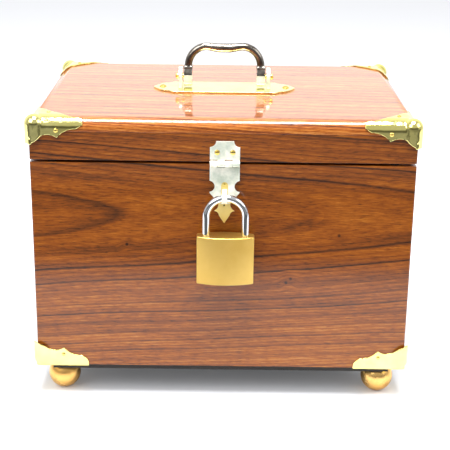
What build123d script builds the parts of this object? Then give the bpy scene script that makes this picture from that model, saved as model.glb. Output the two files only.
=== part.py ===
"""Lockable wooden donation box: lacquered hardwood case on brass ball feet, brass corner caps,
a bail handle on the lid, and a hasp, staple and padlock at the front.

Millimetres. +Z is up, +X to the right and -Y towards the viewer of the front. The origin is on
the surface that the feet stand on, at the middle of the whole object's outline.
"""

import os
from math import asin, degrees, sqrt

from build123d import *

# ---- the wooden case ----
WIDTH = 254.0
DEPTH = 190.0
BODY_HEIGHT = 146.0
LID_HEIGHT = 28.2
LID_GAP = 1.7
FOOT_HEIGHT = 23.5
WALL = 9.5
FLOOR_THICK = 6.5
SKIRT_THICK = 2.7
SKIRT_INSET = 2.5
SKIRT_UNDER_CAPS = 0.1
SKIRT_FOOT_HOLE = 7.3
TOP_THICK = 9.5
LID_ROUNDOVER = 7.3
FELT_THICK = 1.0
RIM_THICK = 3.0
RIM_HEIGHT = 24.0
RIM_LIP = 4.0
RIM_CLEARANCE = 0.8
BUMPER_RADIUS = 3.0
BUMPER_CLEARANCE = 0.3

# ---- ball feet ----
FOOT_INSET = 16.0
FOOT_RADIUS = 11.2
FOOT_CENTRE_Z = 10.8
FOOT_NECK_RADIUS = 5.0
STUD_RADIUS = 2.0
STUD_IN_BALL = 9.0
STUD_IN_FLOOR = 5.0

# ---- stamped corner caps ----
SHEET = 1.0
CAP_LEG = 35.4
CAP_RISE = 17.0
CAP_BULGE_RADIUS = 6.5
CAP_BULGE_CENTRE = 3.5
CAP_BULGE_SHEET = 0.8
CAP_PROUD = 4.0
CAP_EDGE_ROUND = 1.6
CAP_LAP = 2.1
CAP_LEVEL_DEPTH = 5.1
CAP_PIN_ALONG = 18.0
CAP_PIN_IN = 8.3
CAP_PIN_DIAGONAL = 12.0
PIN_HEAD_RADIUS = 1.4
PIN_HEAD_HEIGHT = 0.7
PIN_RADIUS = 0.7
PIN_LENGTH = 8.0

# ---- bail handle ----
HANDLE_PLATE_THICK = 1.2
HANDLE_PLATE_HALF_LENGTH = 51.0
HANDLE_PLATE_HALF_WIDTH = 17.0
PLATE_SCREW_X = 44.4
SCREW_HEAD_RADIUS = 2.6
SCREW_HEAD_HEIGHT = 1.3
SCREW_RADIUS = 1.3
SCREW_LENGTH = 7.5
PIVOT_RISE = 9.1
EAR_X = 31.6
EAR_THICK = 2.7
EAR_RADIUS = 6.4
PIVOT_RADIUS = 1.6
PIVOT_HEAD_RADIUS = 2.1
PIVOT_HEAD_LENGTH = 2.4
RUNNING_CLEARANCE = 0.06
EYE_INNER_X = 23.2
EYE_OUTER_X = 29.3
EYE_HALF_DEPTH = 4.6
EYE_DROP = 7.3
BAIL_LEG_X = 26.0
BAIL_RADIUS = 2.4
BAIL_SHOULDER_RADIUS = 14.0
BAIL_TOP_RISE = 22.0
GRIP_RADIUS = 3.0
GRIP_HALF_LENGTH = 12.0

# ---- hinges and hasp ----
LEAF_THICK = 1.0
KNUCKLE_RADIUS = 2.15
KNUCKLE_OFF = 0.1
KNUCKLE_GAP = 0.2
KNUCKLE_RELIEF = 0.4
HINGE_PIN_RADIUS = 1.0
HINGE_X = 75.0
HINGE_WIDTH = 38.0
HINGE_LEAF_HEIGHT = 16.0
HINGE_KNUCKLES = 5
HINGE_SCREW_SPREAD = 12.2
HINGE_SCREW_RISE = 9.6
HASP_X = 1.0
HASP_WIDTH = 19.7
HASP_KNUCKLES = 4
HASP_TOP_RISE = 14.85
HASP_TOP_NOTCH = 4.0
HASP_PIN_SPACING = 10.2
HASP_PIN_RISE = 7.5
HASP_PIN_HEAD_RADIUS = 1.8
HASP_OFF_WOOD = 1.3
HASP_BITE_AT = 15.4
HASP_BITE_RADIUS = 4.0
HASP_BITE_DEPTH = 3.3
HASP_SLOT_TOP = 12.3
HASP_SLOT_HALF = 2.3
HASP_SLOT_BELOW = 0.3
HASP_END_WEB = 1.0

# ---- staple ----
STAPLE_THICK = 0.8
STAPLE_WIDTH = 3.4
STAPLE_OUT = 9.9
STAPLE_DROP = 21.1
STAPLE_EYE_CLEARANCE = 0.4
STAPLE_LEG_IN = 8.0
STAPLE_PLATE_THICK = 1.0
STAPLE_NAIL_BELOW = 3.9
STAPLE_NAIL_ABOVE = 3.2

# ---- padlock ----
LOCK_X = 2.0
LOCK_WIDTH = 38.0
LOCK_HEIGHT = 33.0
LOCK_THICK = 14.4
LOCK_EDGE_THICK = 6.8
LOCK_CORNER = 1.2
LOCK_RIM = 0.4
SHACKLE_RADIUS = 2.55
SHACKLE_OUTER_WIDTH = 31.0
SHACKLE_RISE = 28.2
LEG_HOLE_CLEARANCE = 0.1
LONG_LEG_IN = 26.0
SHORT_LEG_IN = 9.0
UNLOCK_TRAVEL = 9.5
PLUG_RADIUS = 4.75
PLUG_LENGTH = 25.0
KEYWAY_HALF = 0.8
KEYWAY_STOP = 2.5
PEG_RADIUS = 0.8
PEG_OFF = 2.2
PEG_SHORT = 0.6
TUMBLER_RADIUS = 1.2
TUMBLER_SPACING = 3.5
TUMBLER_COUNT = 4
DRIVER_LENGTH = 3.5
TUMBLER_SPRING_LENGTH = 4.5
LATCH_TRAVEL = 1.6
LATCH_HALF_DEPTH = 2.0
LATCH_HEIGHT = 3.0
LATCH_BELOW_TOP = 3.9
LATCH_TAIL = 3.2
LATCH_RIB = 0.4
WINDOW_START = 1.1
WINDOW_END = 4.4
NOTCH_DEPTH = 1.5
RETAINER_RADIUS = 1.0
RETAINER_BELOW_TOP = 10.7
RETAINER_PAST = 0.4
SPRING_WIRE_RADIUS = 0.35

# ---- donation slot in the back ----
SLOT_LENGTH = 90.0
SLOT_HEIGHT = 5.4
SLOT_DROP = 36.0
SLOT_PLATE_LENGTH = 112.0
SLOT_PLATE_HEIGHT = 18.0
SLOT_PIN_INSET = 5.0

# ---- places that follow from them ----
LEFT, RIGHT = -WIDTH / 2, WIDTH / 2
FRONT, BACK = -DEPTH / 2, DEPTH / 2
BODY_BASE = FOOT_HEIGHT
BODY_TOP = BODY_BASE + BODY_HEIGHT
LID_BASE = BODY_TOP + LID_GAP
LID_TOP = LID_BASE + LID_HEIGHT
HINGE_Z = BODY_TOP + LID_GAP / 2
HINGE_Y = BACK + KNUCKLE_RADIUS + KNUCKLE_OFF
HASP_Y = FRONT - KNUCKLE_RADIUS - KNUCKLE_OFF
PLATE_TOP = LID_TOP + HANDLE_PLATE_THICK
PIVOT_Z = LID_TOP + PIVOT_RISE
EYE_RADIUS = SHACKLE_RADIUS + STAPLE_EYE_CLEARANCE
EYE_OUTER = EYE_RADIUS + STAPLE_THICK
EYE_Y = FRONT - STAPLE_OUT
EYE_Z = HINGE_Z - STAPLE_DROP
EYE_REACH = sqrt(STAPLE_DROP**2 + (HASP_Y - EYE_Y) ** 2) + EYE_OUTER
SLOT_END = EYE_REACH + HASP_SLOT_BELOW
HASP_END = SLOT_END + HASP_END_WEB
LOCK_Y = EYE_Y
LEG_X = SHACKLE_OUTER_WIDTH / 2 - SHACKLE_RADIUS
SHACKLE_TOP_Z = EYE_Z + 0.1 + SHACKLE_RADIUS
LOCK_TOP = SHACKLE_TOP_Z - SHACKLE_RISE
LOCK_BASE = LOCK_TOP - LOCK_HEIGHT
PLUG_TOP = LOCK_BASE + PLUG_LENGTH
LATCH_TOP = LOCK_TOP - LATCH_BELOW_TOP
SLOT_Z = BODY_TOP - SLOT_DROP
OUTLINE_FRONT = LOCK_Y - LOCK_THICK / 2
OUTLINE_BACK = HINGE_Y + KNUCKLE_RADIUS
CENTRE_Y = (OUTLINE_FRONT + OUTLINE_BACK) / 2

# turns that point a fastener's head, which is drawn looking up, out of each face
UP, DOWN = Rot(0, 0, 0), Rot(180, 0, 0)
TO_FRONT, TO_BACK = Rot(90, 0, 0), Rot(-90, 0, 0)
TO_LEFT, TO_RIGHT = Rot(0, -90, 0), Rot(0, 90, 0)
CORNERS = [("front_left", -1, -1), ("front_right", 1, -1), ("back_left", -1, 1), ("back_right", 1, 1)]


# ---- drawing helpers ----
def block(x0, x1, y0, y1, z0, z1):
    """A box between two corners."""
    middle = Pos((x0 + x1) / 2, (y0 + y1) / 2, (z0 + z1) / 2)
    return middle * Box(abs(x1 - x0), abs(y1 - y0), abs(z1 - z0))


def rod_x(radius, x0, x1, y, z):
    """A round bar along X."""
    return Pos((x0 + x1) / 2, y, z) * Rot(0, 90, 0) * Cylinder(radius, x1 - x0)


def rod_y(radius, x, y0, y1, z):
    """A round bar along Y."""
    return Pos(x, (y0 + y1) / 2, z) * Rot(90, 0, 0) * Cylinder(radius, y1 - y0)


def rod_z(radius, x, y, z0, z1):
    """A round bar along Z."""
    return Pos(x, y, (z0 + z1) / 2) * Cylinder(radius, z1 - z0)


def outline(start, *steps):
    """A flat face. A step of one point is a straight side, one of two is an arc through the first."""
    sides = []
    here = start
    for step in steps:
        if len(step) == 1:
            sides.append(Line(here, step[0]))
        else:
            sides.append(ThreePointArc(here, step[0], step[1]))
        here = step[-1]
    sides.append(Line(here, start))
    return make_face(sides)


def both_sides(half):
    """A flat face made whole across its own Y axis."""
    return half + mirror(half, Plane.YZ)


def upright(face, y0, y1):
    """A face drawn as seen from the front, given its thickness from y0 to y1."""
    return Pos(0, y1, 0) * extrude(Plane.XZ * face, amount=y1 - y0)


def fastener(head_radius, head_height, radius, length):
    """A nail or screw with a domed head that looks up; its shank goes down from the origin."""
    ball_radius = (head_radius**2 + head_height**2) / (2 * head_height)
    ball = Pos(0, 0, head_height - ball_radius) * Sphere(ball_radius)
    above = block(-head_radius, head_radius, -head_radius, head_radius, 0, head_height)
    return (ball & above) + shank(radius, length)


def shank(radius, length):
    """The hole that a fastener's shank fills."""
    return Pos(0, 0, -length / 2) * Cylinder(radius, length)


def group(solids):
    """Several separate solids that are kept as one sub-part."""
    return Compound([s.solid() for s in solids])


# ---- where the fasteners go ----
def cap_pin_places(edge_z, inward, with_flat):
    """The nails of four corner caps; inward is +1 for the caps at the base and -1 for those of the lid."""
    places = []
    for _, sx, sy in CORNERS:
        x_edge, y_edge = sx * WIDTH / 2, sy * DEPTH / 2
        z = edge_z + inward * CAP_PIN_IN
        x, y = x_edge - sx * CAP_PIN_ALONG, y_edge - sy * CAP_PIN_ALONG
        places.append(Pos(x, y_edge + sy * SHEET, z) * (TO_BACK if sy > 0 else TO_FRONT))
        places.append(Pos(x_edge + sx * SHEET, y, z) * (TO_RIGHT if sx > 0 else TO_LEFT))
        if with_flat:
            x, y = x_edge - sx * CAP_PIN_DIAGONAL, y_edge - sy * CAP_PIN_DIAGONAL
            places.append(Pos(x, y, edge_z + SHEET) * UP)
    return places


LID_CAP_PINS = cap_pin_places(LID_TOP, -1, True)
BASE_CAP_PINS = cap_pin_places(BODY_BASE, 1, False)
PLATE_SCREWS = [Pos(sx * PLATE_SCREW_X, 0, PLATE_TOP) for sx in (-1, 1)]
HASP_PINS = [
    Pos(HASP_X + sx * HASP_PIN_SPACING / 2, FRONT - LEAF_THICK, HINGE_Z + HASP_PIN_RISE) * TO_FRONT
    for sx in (-1, 1)
]
SLOT_PINS = [
    Pos(sx * (SLOT_PLATE_LENGTH / 2 - SLOT_PIN_INSET), BACK + SHEET, SLOT_Z) * TO_BACK for sx in (-1, 1)
]


def hinge_screw_places(side):
    """Two screws in each rear hinge leaf; side is +1 for the lid's leaves and -1 for the body's."""
    z = HINGE_Z + side * HINGE_SCREW_RISE
    places = []
    for hinge in (-1, 1):
        for sx in (-1, 1):
            x = hinge * HINGE_X + sx * HINGE_SCREW_SPREAD
            places.append(Pos(x, BACK + LEAF_THICK, z) * TO_BACK)
    return places


def drilled(wood, places, radius=PIN_RADIUS, length=PIN_LENGTH):
    """Takes each shank's hole out of a piece."""
    return wood - [place * shank(radius, length) for place in places]


# ---- wooden walls ----
def mitred_wall(side, z0, z1):
    """One of four walls, cut at 45 degrees where it meets its neighbours."""
    across, along = (DEPTH, WIDTH) if side in ("front", "back") else (WIDTH, DEPTH)
    edge = -across / 2
    plan = outline(
        (-along / 2, edge),
        [(along / 2, edge)],
        [(along / 2 - WALL, edge + WALL)],
        [(-along / 2 + WALL, edge + WALL)],
    )
    turn = {"front": 0, "right": 90, "back": 180, "left": 270}[side]
    return Pos(0, 0, z0) * Rot(0, 0, turn) * extrude(plan, amount=z1 - z0)


def body_wall(side):
    """A wall of the case, with the nail holes that reach it."""
    wall = mitred_wall(side, BODY_BASE, BODY_TOP)
    wall = drilled(wall, BASE_CAP_PINS)
    if side == "front":
        wall = wall - staple_holes()
    if side == "back":
        wall = drilled(wall, hinge_screw_places(-1), SCREW_RADIUS, SCREW_LENGTH)
        wall = drilled(wall, SLOT_PINS) - coin_slot()
    return wall


def lid_rail(side):
    """A side of the lid's frame."""
    rail = mitred_wall(side, LID_BASE, LID_TOP - TOP_THICK)
    rail = drilled(rail, LID_CAP_PINS)
    if side == "front":
        rail = drilled(rail, HASP_PINS)
    if side == "back":
        rail = drilled(rail, hinge_screw_places(1), SCREW_RADIUS, SCREW_LENGTH)
    return rail


def floor_panel():
    """The bottom board: let in between the walls, with a thin skirt under them that clears the caps."""
    board = block(LEFT + WALL, RIGHT - WALL, FRONT + WALL, BACK - WALL, BODY_BASE, BODY_BASE + FLOOR_THICK)
    x, y = WIDTH / 2 - SKIRT_INSET, DEPTH / 2 - SKIRT_INSET
    top = BODY_BASE - SHEET - SKIRT_UNDER_CAPS
    skirt = block(-x, x, -y, y, top - SKIRT_THICK, top)
    between_x, between_y = WIDTH / 2 - CAP_LEG - SHEET, DEPTH / 2 - CAP_LEG - SHEET
    packing = block(-between_x, between_x, -y, y, top, BODY_BASE)
    packing = packing + block(-x, x, -between_y, between_y, top, BODY_BASE)
    for _, sx, sy in CORNERS:
        foot_x, foot_y = sx * (WIDTH / 2 - FOOT_INSET), sy * (DEPTH / 2 - FOOT_INSET)
        skirt = skirt - rod_z(SKIRT_FOOT_HOLE, foot_x, foot_y, top - SKIRT_THICK, top)
        bulge_x, bulge_y = sx * (WIDTH / 2 - CAP_BULGE_CENTRE), sy * (DEPTH / 2 - CAP_BULGE_CENTRE)
        skirt = skirt - rod_z(CAP_BULGE_RADIUS + SKIRT_UNDER_CAPS, bulge_x, bulge_y, top - SKIRT_THICK, top)
    return board + packing + skirt - foot_studs_list()


def rounded_block(x0, x1, y0, y1, z0, z1, radius):
    """A block whose four top edges are rounded over."""
    plain = block(x0, x1, y0, y1, z0, z1)
    return fillet(plain.faces().sort_by(Axis.Z)[-1].edges(), radius)


def lid_top_panel():
    """The lid's board, rounded over along its four top edges."""
    board = rounded_block(LEFT, RIGHT, FRONT, BACK, LID_TOP - TOP_THICK, LID_TOP, LID_ROUNDOVER)
    board = drilled(board, LID_CAP_PINS)
    return drilled(board, PLATE_SCREWS, SCREW_RADIUS, SCREW_LENGTH)


def rim_strips():
    """Dark strips inside the walls whose lip stands up into the lid."""
    x, y = WIDTH / 2 - WALL, DEPTH / 2 - WALL
    z0, z1 = BODY_TOP - RIM_HEIGHT, BODY_TOP + RIM_LIP
    off = RIM_CLEARANCE
    low = block(-x, x, -y, y, z0, BODY_TOP)
    lip = block(-x + off, x - off, -y + off, y - off, BODY_TOP, z1)
    inside = block(-x + RIM_THICK, x - RIM_THICK, -y + RIM_THICK, y - RIM_THICK, z0, z1)
    ring = low + lip - inside
    strips = []
    for sy in (-1, 1):
        strips.append(ring & block(-x, x, sy * y, sy * (y - RIM_THICK), z0, z1))
    for sx in (-1, 1):
        between = block(sx * x, sx * (x - RIM_THICK), -y + RIM_THICK, y - RIM_THICK, z0, z1)
        strips.append(ring & between)
    return group(strips)


def floor_felt():
    """The felt that lines the floor."""
    base = BODY_BASE + FLOOR_THICK
    return block(LEFT + WALL, RIGHT - WALL, FRONT + WALL, BACK - WALL, base, base + FELT_THICK)


def lid_bumpers():
    """Felt dots on top of the walls that the closed lid rests on."""
    half_wall = WALL / 2
    dots = []
    for _, sx, sy in CORNERS:
        x, y = sx * (WIDTH / 2 - half_wall * 3), sy * (DEPTH / 2 - half_wall)
        dots.append(rod_z(BUMPER_RADIUS, x, y, BODY_TOP, LID_BASE - BUMPER_CLEARANCE))
    return group(dots)


# ---- feet ----
def foot(sx, sy):
    """A turned brass ball with a short neck, a small flat to stand on and a hole for its stud."""
    x, y = sx * (WIDTH / 2 - FOOT_INSET), sy * (DEPTH / 2 - FOOT_INSET)
    ball = Pos(x, y, FOOT_CENTRE_Z) * Sphere(FOOT_RADIUS)
    neck = rod_z(FOOT_NECK_RADIUS, x, y, FOOT_CENTRE_Z + FOOT_RADIUS / 2, FOOT_HEIGHT)
    below = block(x - FOOT_RADIUS, x + FOOT_RADIUS, y - FOOT_RADIUS, y + FOOT_RADIUS, -FOOT_RADIUS, 0)
    stud = rod_z(STUD_RADIUS, x, y, FOOT_HEIGHT - STUD_IN_BALL, FOOT_HEIGHT)
    return ball + neck - below - stud


def foot_studs_list():
    """The threaded studs that hold the ball feet to the floor board."""
    studs = []
    for _, sx, sy in CORNERS:
        x, y = sx * (WIDTH / 2 - FOOT_INSET), sy * (DEPTH / 2 - FOOT_INSET)
        studs.append(rod_z(STUD_RADIUS, x, y, FOOT_HEIGHT - STUD_IN_BALL, FOOT_HEIGHT + STUD_IN_FLOOR))
    return studs


# ---- corner caps ----
def cap_face():
    """The cusped outline of a cap's upright sides: X along the edge, Y down from the edge."""
    out = -CAP_PROUD
    tip, rise = CAP_LEG, CAP_RISE
    return outline(
        (out, out),
        [(tip, out)],
        [(tip, 1.8)],
        [(tip - 1.4, 5.3), (tip - 5.0, 7.4)],
        [(tip - 11.0, 8.7), (tip - 16.9, rise - 3.6)],
        [(tip - 22.9, rise - 5.7), (tip - 27.2, rise - 4.7)],
        [(tip - 30.4, rise - 1.9), (out, rise + 0.8)],
    )


def cap_flat():
    """The outline of a cap's level side, which reaches along both edges to a narrow tip."""
    out = -CAP_PROUD
    tip = CAP_LEG
    return outline(
        (out, out),
        [(tip, out)],
        [(tip, 1.4)],
        [(tip - 1.0, 2.6), (tip - 3.3, 3.2)],
        [(tip - 10.0, 4.7), (tip - 15.3, 9.5)],
        [(tip - 21.9, 15.1), (9.5, tip - 15.3)],
        [(4.7, tip - 10.0), (3.2, tip - 3.3)],
        [(2.6, tip - 1.0), (1.4, tip)],
        [(out, tip)],
    )


def capsule(radius, depth):
    """The rounded bulge down a cap's upright edge: a bar that ends above in a half ball."""
    centre, top = CAP_BULGE_CENTRE, -CAP_BULGE_RADIUS + CAP_BULGE_CENTRE / 2
    return rod_z(radius, centre, centre, -depth, top) + Pos(centre, centre, top) * Sphere(radius)


def corner_cap(roundover):
    """A stamped cap over a corner at the origin, with the wood along +X and +Y and below."""
    far, deep = CAP_LEG * 1.5, CAP_RISE * 1.5
    wood = block(0, far, 0, far, -deep, 0)
    skin = block(-SHEET, far, -SHEET, far, -deep, SHEET)
    if roundover:
        wood = fillet(corner_edges(wood), roundover)
        skin = fillet(corner_edges(skin), roundover + SHEET)
    else:
        skin = fillet(corner_edges(skin), CAP_EDGE_ROUND)
    sheet = (skin + capsule(CAP_BULGE_RADIUS, deep)) - capsule(CAP_BULGE_RADIUS - CAP_BULGE_SHEET, deep)
    lap, level_depth = (CAP_LAP, CAP_LEVEL_DEPTH) if roundover else (0, 0)
    face = extrude(Plane.XZ * mirror(cap_face(), Plane.XZ), amount=CAP_PROUD + lap)
    front = Pos(0, lap, 0) * face
    side = mirror(front, Plane(origin=(0, 0, 0), z_dir=(1, -1, 0)))
    level = Pos(0, 0, -level_depth) * extrude(cap_flat(), amount=CAP_PROUD + level_depth)
    return (sheet - wood) & (front + side + level)


def corner_edges(shape):
    """The two level edges that meet at a corner cap's upright edge."""
    top = shape.faces().sort_by(Axis.Z)[-1].edges()
    return top.filter_by(Axis.X).sort_by(Axis.Y)[:1] + top.filter_by(Axis.Y).sort_by(Axis.X)[:1]


def placed_cap(cap, sx, sy, z, upside_down):
    """Mirrors a cap into one of the eight corners."""
    if upside_down:
        cap = mirror(cap, Plane.XY)
    if sx > 0:
        cap = mirror(cap, Plane.YZ)
    if sy > 0:
        cap = mirror(cap, Plane.XZ)
    return Pos(sx * WIDTH / 2, sy * DEPTH / 2, z) * cap


def lid_cap(cap, sx, sy):
    """A cap on the lid, drilled for its nails."""
    return drilled(placed_cap(cap, sx, sy, LID_TOP, False), LID_CAP_PINS)


def base_cap(cap, sx, sy):
    """A cap under the case, drilled for its nails and cut round the foot's neck."""
    x, y = sx * (WIDTH / 2 - FOOT_INSET), sy * (DEPTH / 2 - FOOT_INSET)
    around_neck = rod_z(FOOT_NECK_RADIUS, x, y, BODY_BASE - 2 * SHEET, BODY_BASE)
    return drilled(placed_cap(cap, sx, sy, BODY_BASE, True), BASE_CAP_PINS) - around_neck


def nails(places):
    """Small domed nails at the places given."""
    nail = fastener(PIN_HEAD_RADIUS, PIN_HEAD_HEIGHT, PIN_RADIUS, PIN_LENGTH)
    return group([place * nail for place in places])


def screws(places):
    """Raised-head wood screws at the places given."""
    screw = fastener(SCREW_HEAD_RADIUS, SCREW_HEAD_HEIGHT, SCREW_RADIUS, SCREW_LENGTH)
    return group([place * screw for place in places])


# ---- handle ----
def handle_plate():
    """The brass plate under the handle, with a stepped lobe at each end."""
    half_width, end = HANDLE_PLATE_HALF_WIDTH, HANDLE_PLATE_HALF_LENGTH
    quarter = outline(
        (0, 0),
        [(end, 0)],
        [(end - 2.4, 5.2), (end - 8.0, half_width - 4.6)],
        [(end - 11.0, half_width - 3.8), (end - 12.6, half_width - 2.4)],
        [(end - 13.4, half_width - 0.6), (end - 15.2, half_width)],
        [(0, half_width)],
    )
    half = quarter + mirror(quarter, Plane.XZ)
    plate = Pos(0, 0, LID_TOP) * extrude(both_sides(half), amount=HANDLE_PLATE_THICK)
    return drilled(plate, PLATE_SCREWS, SCREW_RADIUS, SCREW_LENGTH)


def ear(sx):
    """An upright ear on the plate that carries one end of the handle's pivot."""
    foot_z = PLATE_TOP - PIVOT_Z
    side = outline(
        (-EAR_RADIUS, foot_z),
        [(EAR_RADIUS, foot_z)],
        [(EAR_RADIUS, 0)],
        [(0, EAR_RADIUS), (-EAR_RADIUS, 0)],
    )
    x0 = sx * EAR_X - EAR_THICK / 2
    upright_ear = Pos(x0, 0, PIVOT_Z) * extrude(Plane.YZ * side, amount=EAR_THICK)
    return upright_ear - rod_x(PIVOT_RADIUS, x0, x0 + EAR_THICK, 0, PIVOT_Z)


def pivot_pins():
    """The pins that the handle turns on, with a rounded head outside each ear."""
    pins = []
    for sx in (-1, 1):
        outside = EAR_X + EAR_THICK / 2
        inner, outer = sorted((sx * EYE_INNER_X, sx * outside))
        shaft = rod_x(PIVOT_RADIUS, inner, outer, 0, PIVOT_Z)
        head = Pos(sx * outside, 0, PIVOT_Z) * (TO_RIGHT if sx > 0 else TO_LEFT)
        pins.append(shaft + head * fastener(PIVOT_HEAD_RADIUS, PIVOT_HEAD_LENGTH, PIVOT_RADIUS, EAR_THICK))
    return group(pins)


def bail():
    """The lifting handle: two pierced eyes, two legs, and a cross bar that swells to a grip."""
    top = PIVOT_Z + BAIL_TOP_RISE
    half = BAIL_LEG_X
    shoulder = BAIL_SHOULDER_RADIUS
    path = FilletPolyline(
        (-half, 0, PIVOT_Z),
        (-half, 0, top),
        (half, 0, top),
        (half, 0, PIVOT_Z),
        radius=shoulder,
    )
    bar = sweep(Plane(origin=path @ 0, z_dir=path % 0) * Circle(BAIL_RADIUS), path=path)
    swell = outline(
        (-GRIP_HALF_LENGTH, 0),
        [(GRIP_HALF_LENGTH, 0)],
        [(GRIP_HALF_LENGTH, BAIL_RADIUS)],
        [(0, GRIP_RADIUS), (-GRIP_HALF_LENGTH, BAIL_RADIUS)],
    )
    grip = Pos(0, 0, top) * revolve(swell, Axis.X)
    handle = bar + grip
    for sx in (-1, 1):
        handle = handle + bail_eye(sx)
    for sx in (-1, 1):
        inner, outer = sorted((sx * EYE_INNER_X, sx * EYE_OUTER_X))
        handle = handle - rod_x(PIVOT_RADIUS + RUNNING_CLEARANCE, inner, outer, 0, PIVOT_Z)
    return handle


def bail_eye(sx):
    """A flattened eye at the foot of the handle's leg, pierced for the pivot."""
    half = EYE_HALF_DEPTH
    side = outline(
        (-half, half - EYE_DROP),
        [(0, -EYE_DROP), (half, half - EYE_DROP)],
        [(half, 1.5)],
        [(half - 0.8, 4.6), (BAIL_RADIUS, 7.5)],
        [(-BAIL_RADIUS, 7.5)],
        [(0.8 - half, 4.6), (-half, 1.5)],
    )
    inner = min(sx * EYE_INNER_X, sx * EYE_OUTER_X)
    return Pos(inner, 0, PIVOT_Z) * extrude(Plane.YZ * side, amount=EYE_OUTER_X - EYE_INNER_X)


# ---- hinges ----
def knuckle_spans(centre, width, count, first):
    """The stretches of a hinge's barrel that belong to one leaf, which takes every other knuckle."""
    pitch = width / count
    starts = [centre - width / 2 + pitch * k for k in range(first, count, 2)]
    return [(x + KNUCKLE_GAP / 2, x + pitch - KNUCKLE_GAP / 2) for x in starts]


def knuckled(leaf, spans, y0, y1, edge, axis_y):
    """Adds a leaf's knuckles, and the neck of sheet that runs into each one."""
    for x0, x1 in spans:
        neck = block(x0, x1, y0, y1, edge, HINGE_Z)
        leaf = leaf + neck + rod_x(KNUCKLE_RADIUS, x0, x1, axis_y, HINGE_Z)
    return leaf


def bored(leaf, centre, width, axis_y, radius):
    """Bores a leaf's knuckles for the hinge pin."""
    return leaf - rod_x(radius, centre - width, centre + width, axis_y, HINGE_Z)


def rear_leaf(hinge, side):
    """A leaf of a rear hinge; side is +1 for the lid's leaf and -1 for the body's."""
    centre = hinge * HINGE_X
    near = HINGE_Z + side * (KNUCKLE_RADIUS + KNUCKLE_RELIEF)
    far = HINGE_Z + side * HINGE_LEAF_HEIGHT
    z0, z1 = sorted((near, far))
    half = HINGE_WIDTH / 2
    leaf = block(centre - half, centre + half, BACK, BACK + LEAF_THICK, z0, z1)
    spans = knuckle_spans(centre, HINGE_WIDTH, HINGE_KNUCKLES, 1 if side > 0 else 0)
    leaf = knuckled(leaf, spans, BACK, BACK + LEAF_THICK, near, HINGE_Y)
    loose = 0.0 if side > 0 else RUNNING_CLEARANCE
    leaf = bored(leaf, centre, HINGE_WIDTH, HINGE_Y, HINGE_PIN_RADIUS + loose)
    return drilled(leaf, hinge_screw_places(side), SCREW_RADIUS, SCREW_LENGTH)


def hinge_pin(centre, width, axis_y):
    """The wire pin through a hinge's knuckles."""
    half = width / 2 - KNUCKLE_GAP / 2
    return rod_x(HINGE_PIN_RADIUS, centre - half, centre + half, axis_y, HINGE_Z)


# ---- hasp and staple ----
def hasp_top_leaf():
    """The hasp's upper leaf on the lid, with quarter-round notches at its top corners."""
    half, rise, notch = HASP_WIDTH / 2, HASP_TOP_RISE, HASP_TOP_NOTCH
    near = KNUCKLE_RADIUS + KNUCKLE_RELIEF
    side = outline(
        (0, near),
        [(half, near)],
        [(half, rise - notch)],
        [(half - notch * 0.71, rise - notch * 0.71), (half - notch, rise)],
        [(0, rise)],
    )
    leaf = Pos(HASP_X, 0, HINGE_Z) * upright(both_sides(side), FRONT - LEAF_THICK, FRONT)
    spans = knuckle_spans(HASP_X, HASP_WIDTH, HASP_KNUCKLES, 1)
    leaf = knuckled(leaf, spans, FRONT - LEAF_THICK, FRONT, HINGE_Z + near, HASP_Y)
    return drilled(bored(leaf, HASP_X, HASP_WIDTH, HASP_Y, HINGE_PIN_RADIUS), HASP_PINS)


def hasp_pins():
    """The two round-headed nails of the hasp's upper leaf."""
    nail = fastener(HASP_PIN_HEAD_RADIUS, PIN_HEAD_HEIGHT, PIN_RADIUS, PIN_LENGTH)
    return group([place * nail for place in HASP_PINS])


def hasp_swing_leaf():
    """The swinging leaf: round bites in its sides, two horns, a tongue, and a slot for the staple."""
    half = HASP_WIDTH / 2
    near = KNUCKLE_RADIUS + KNUCKLE_RELIEF
    bite, at, deep = HASP_BITE_RADIUS, HASP_BITE_AT, HASP_BITE_DEPTH
    end = HASP_END
    side = outline(
        (0, -near),
        [(half, -near)],
        [(half, bite - at)],
        [(half - deep, -at), (half, -at - bite)],
        [(half - 0.3, -at - bite - 0.8)],
        [(half - 2.2, -at - bite - 2.9), (half * 0.45, 0.8 - end)],
        [(half * 0.25, 0.1 - end), (0, -end)],
    )
    slot_half = HASP_SLOT_HALF
    slot = outline(
        (0, -HASP_SLOT_TOP),
        [(slot_half * 0.71, -HASP_SLOT_TOP - slot_half * 0.29), (slot_half, -HASP_SLOT_TOP - slot_half)],
        [(slot_half, -SLOT_END)],
        [(0, -SLOT_END)],
    )
    plate = both_sides(side) - both_sides(slot)
    y1 = FRONT - HASP_OFF_WOOD
    leaf = Pos(HASP_X, 0, HINGE_Z) * upright(plate, y1 - LEAF_THICK, y1)
    spans = knuckle_spans(HASP_X, HASP_WIDTH, HASP_KNUCKLES, 0)
    leaf = knuckled(leaf, spans, y1 - LEAF_THICK, y1, HINGE_Z - near, HASP_Y)
    return bored(leaf, HASP_X, HASP_WIDTH, HASP_Y, HINGE_PIN_RADIUS + RUNNING_CLEARANCE)


def staple_side(grown):
    """The staple's outline from the side: a loop on two legs that run into the wood."""
    back = STAPLE_OUT + STAPLE_LEG_IN
    legs = block(-STAPLE_WIDTH / 2, STAPLE_WIDTH / 2, 0, back, -grown, grown)
    return legs + rod_x(grown, -STAPLE_WIDTH / 2, STAPLE_WIDTH / 2, 0, 0)


def staple():
    """The strip loop that the padlock goes through."""
    loop = staple_side(EYE_OUTER) - staple_side(EYE_RADIUS)
    return Pos(HASP_X, EYE_Y, EYE_Z) * loop


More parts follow.
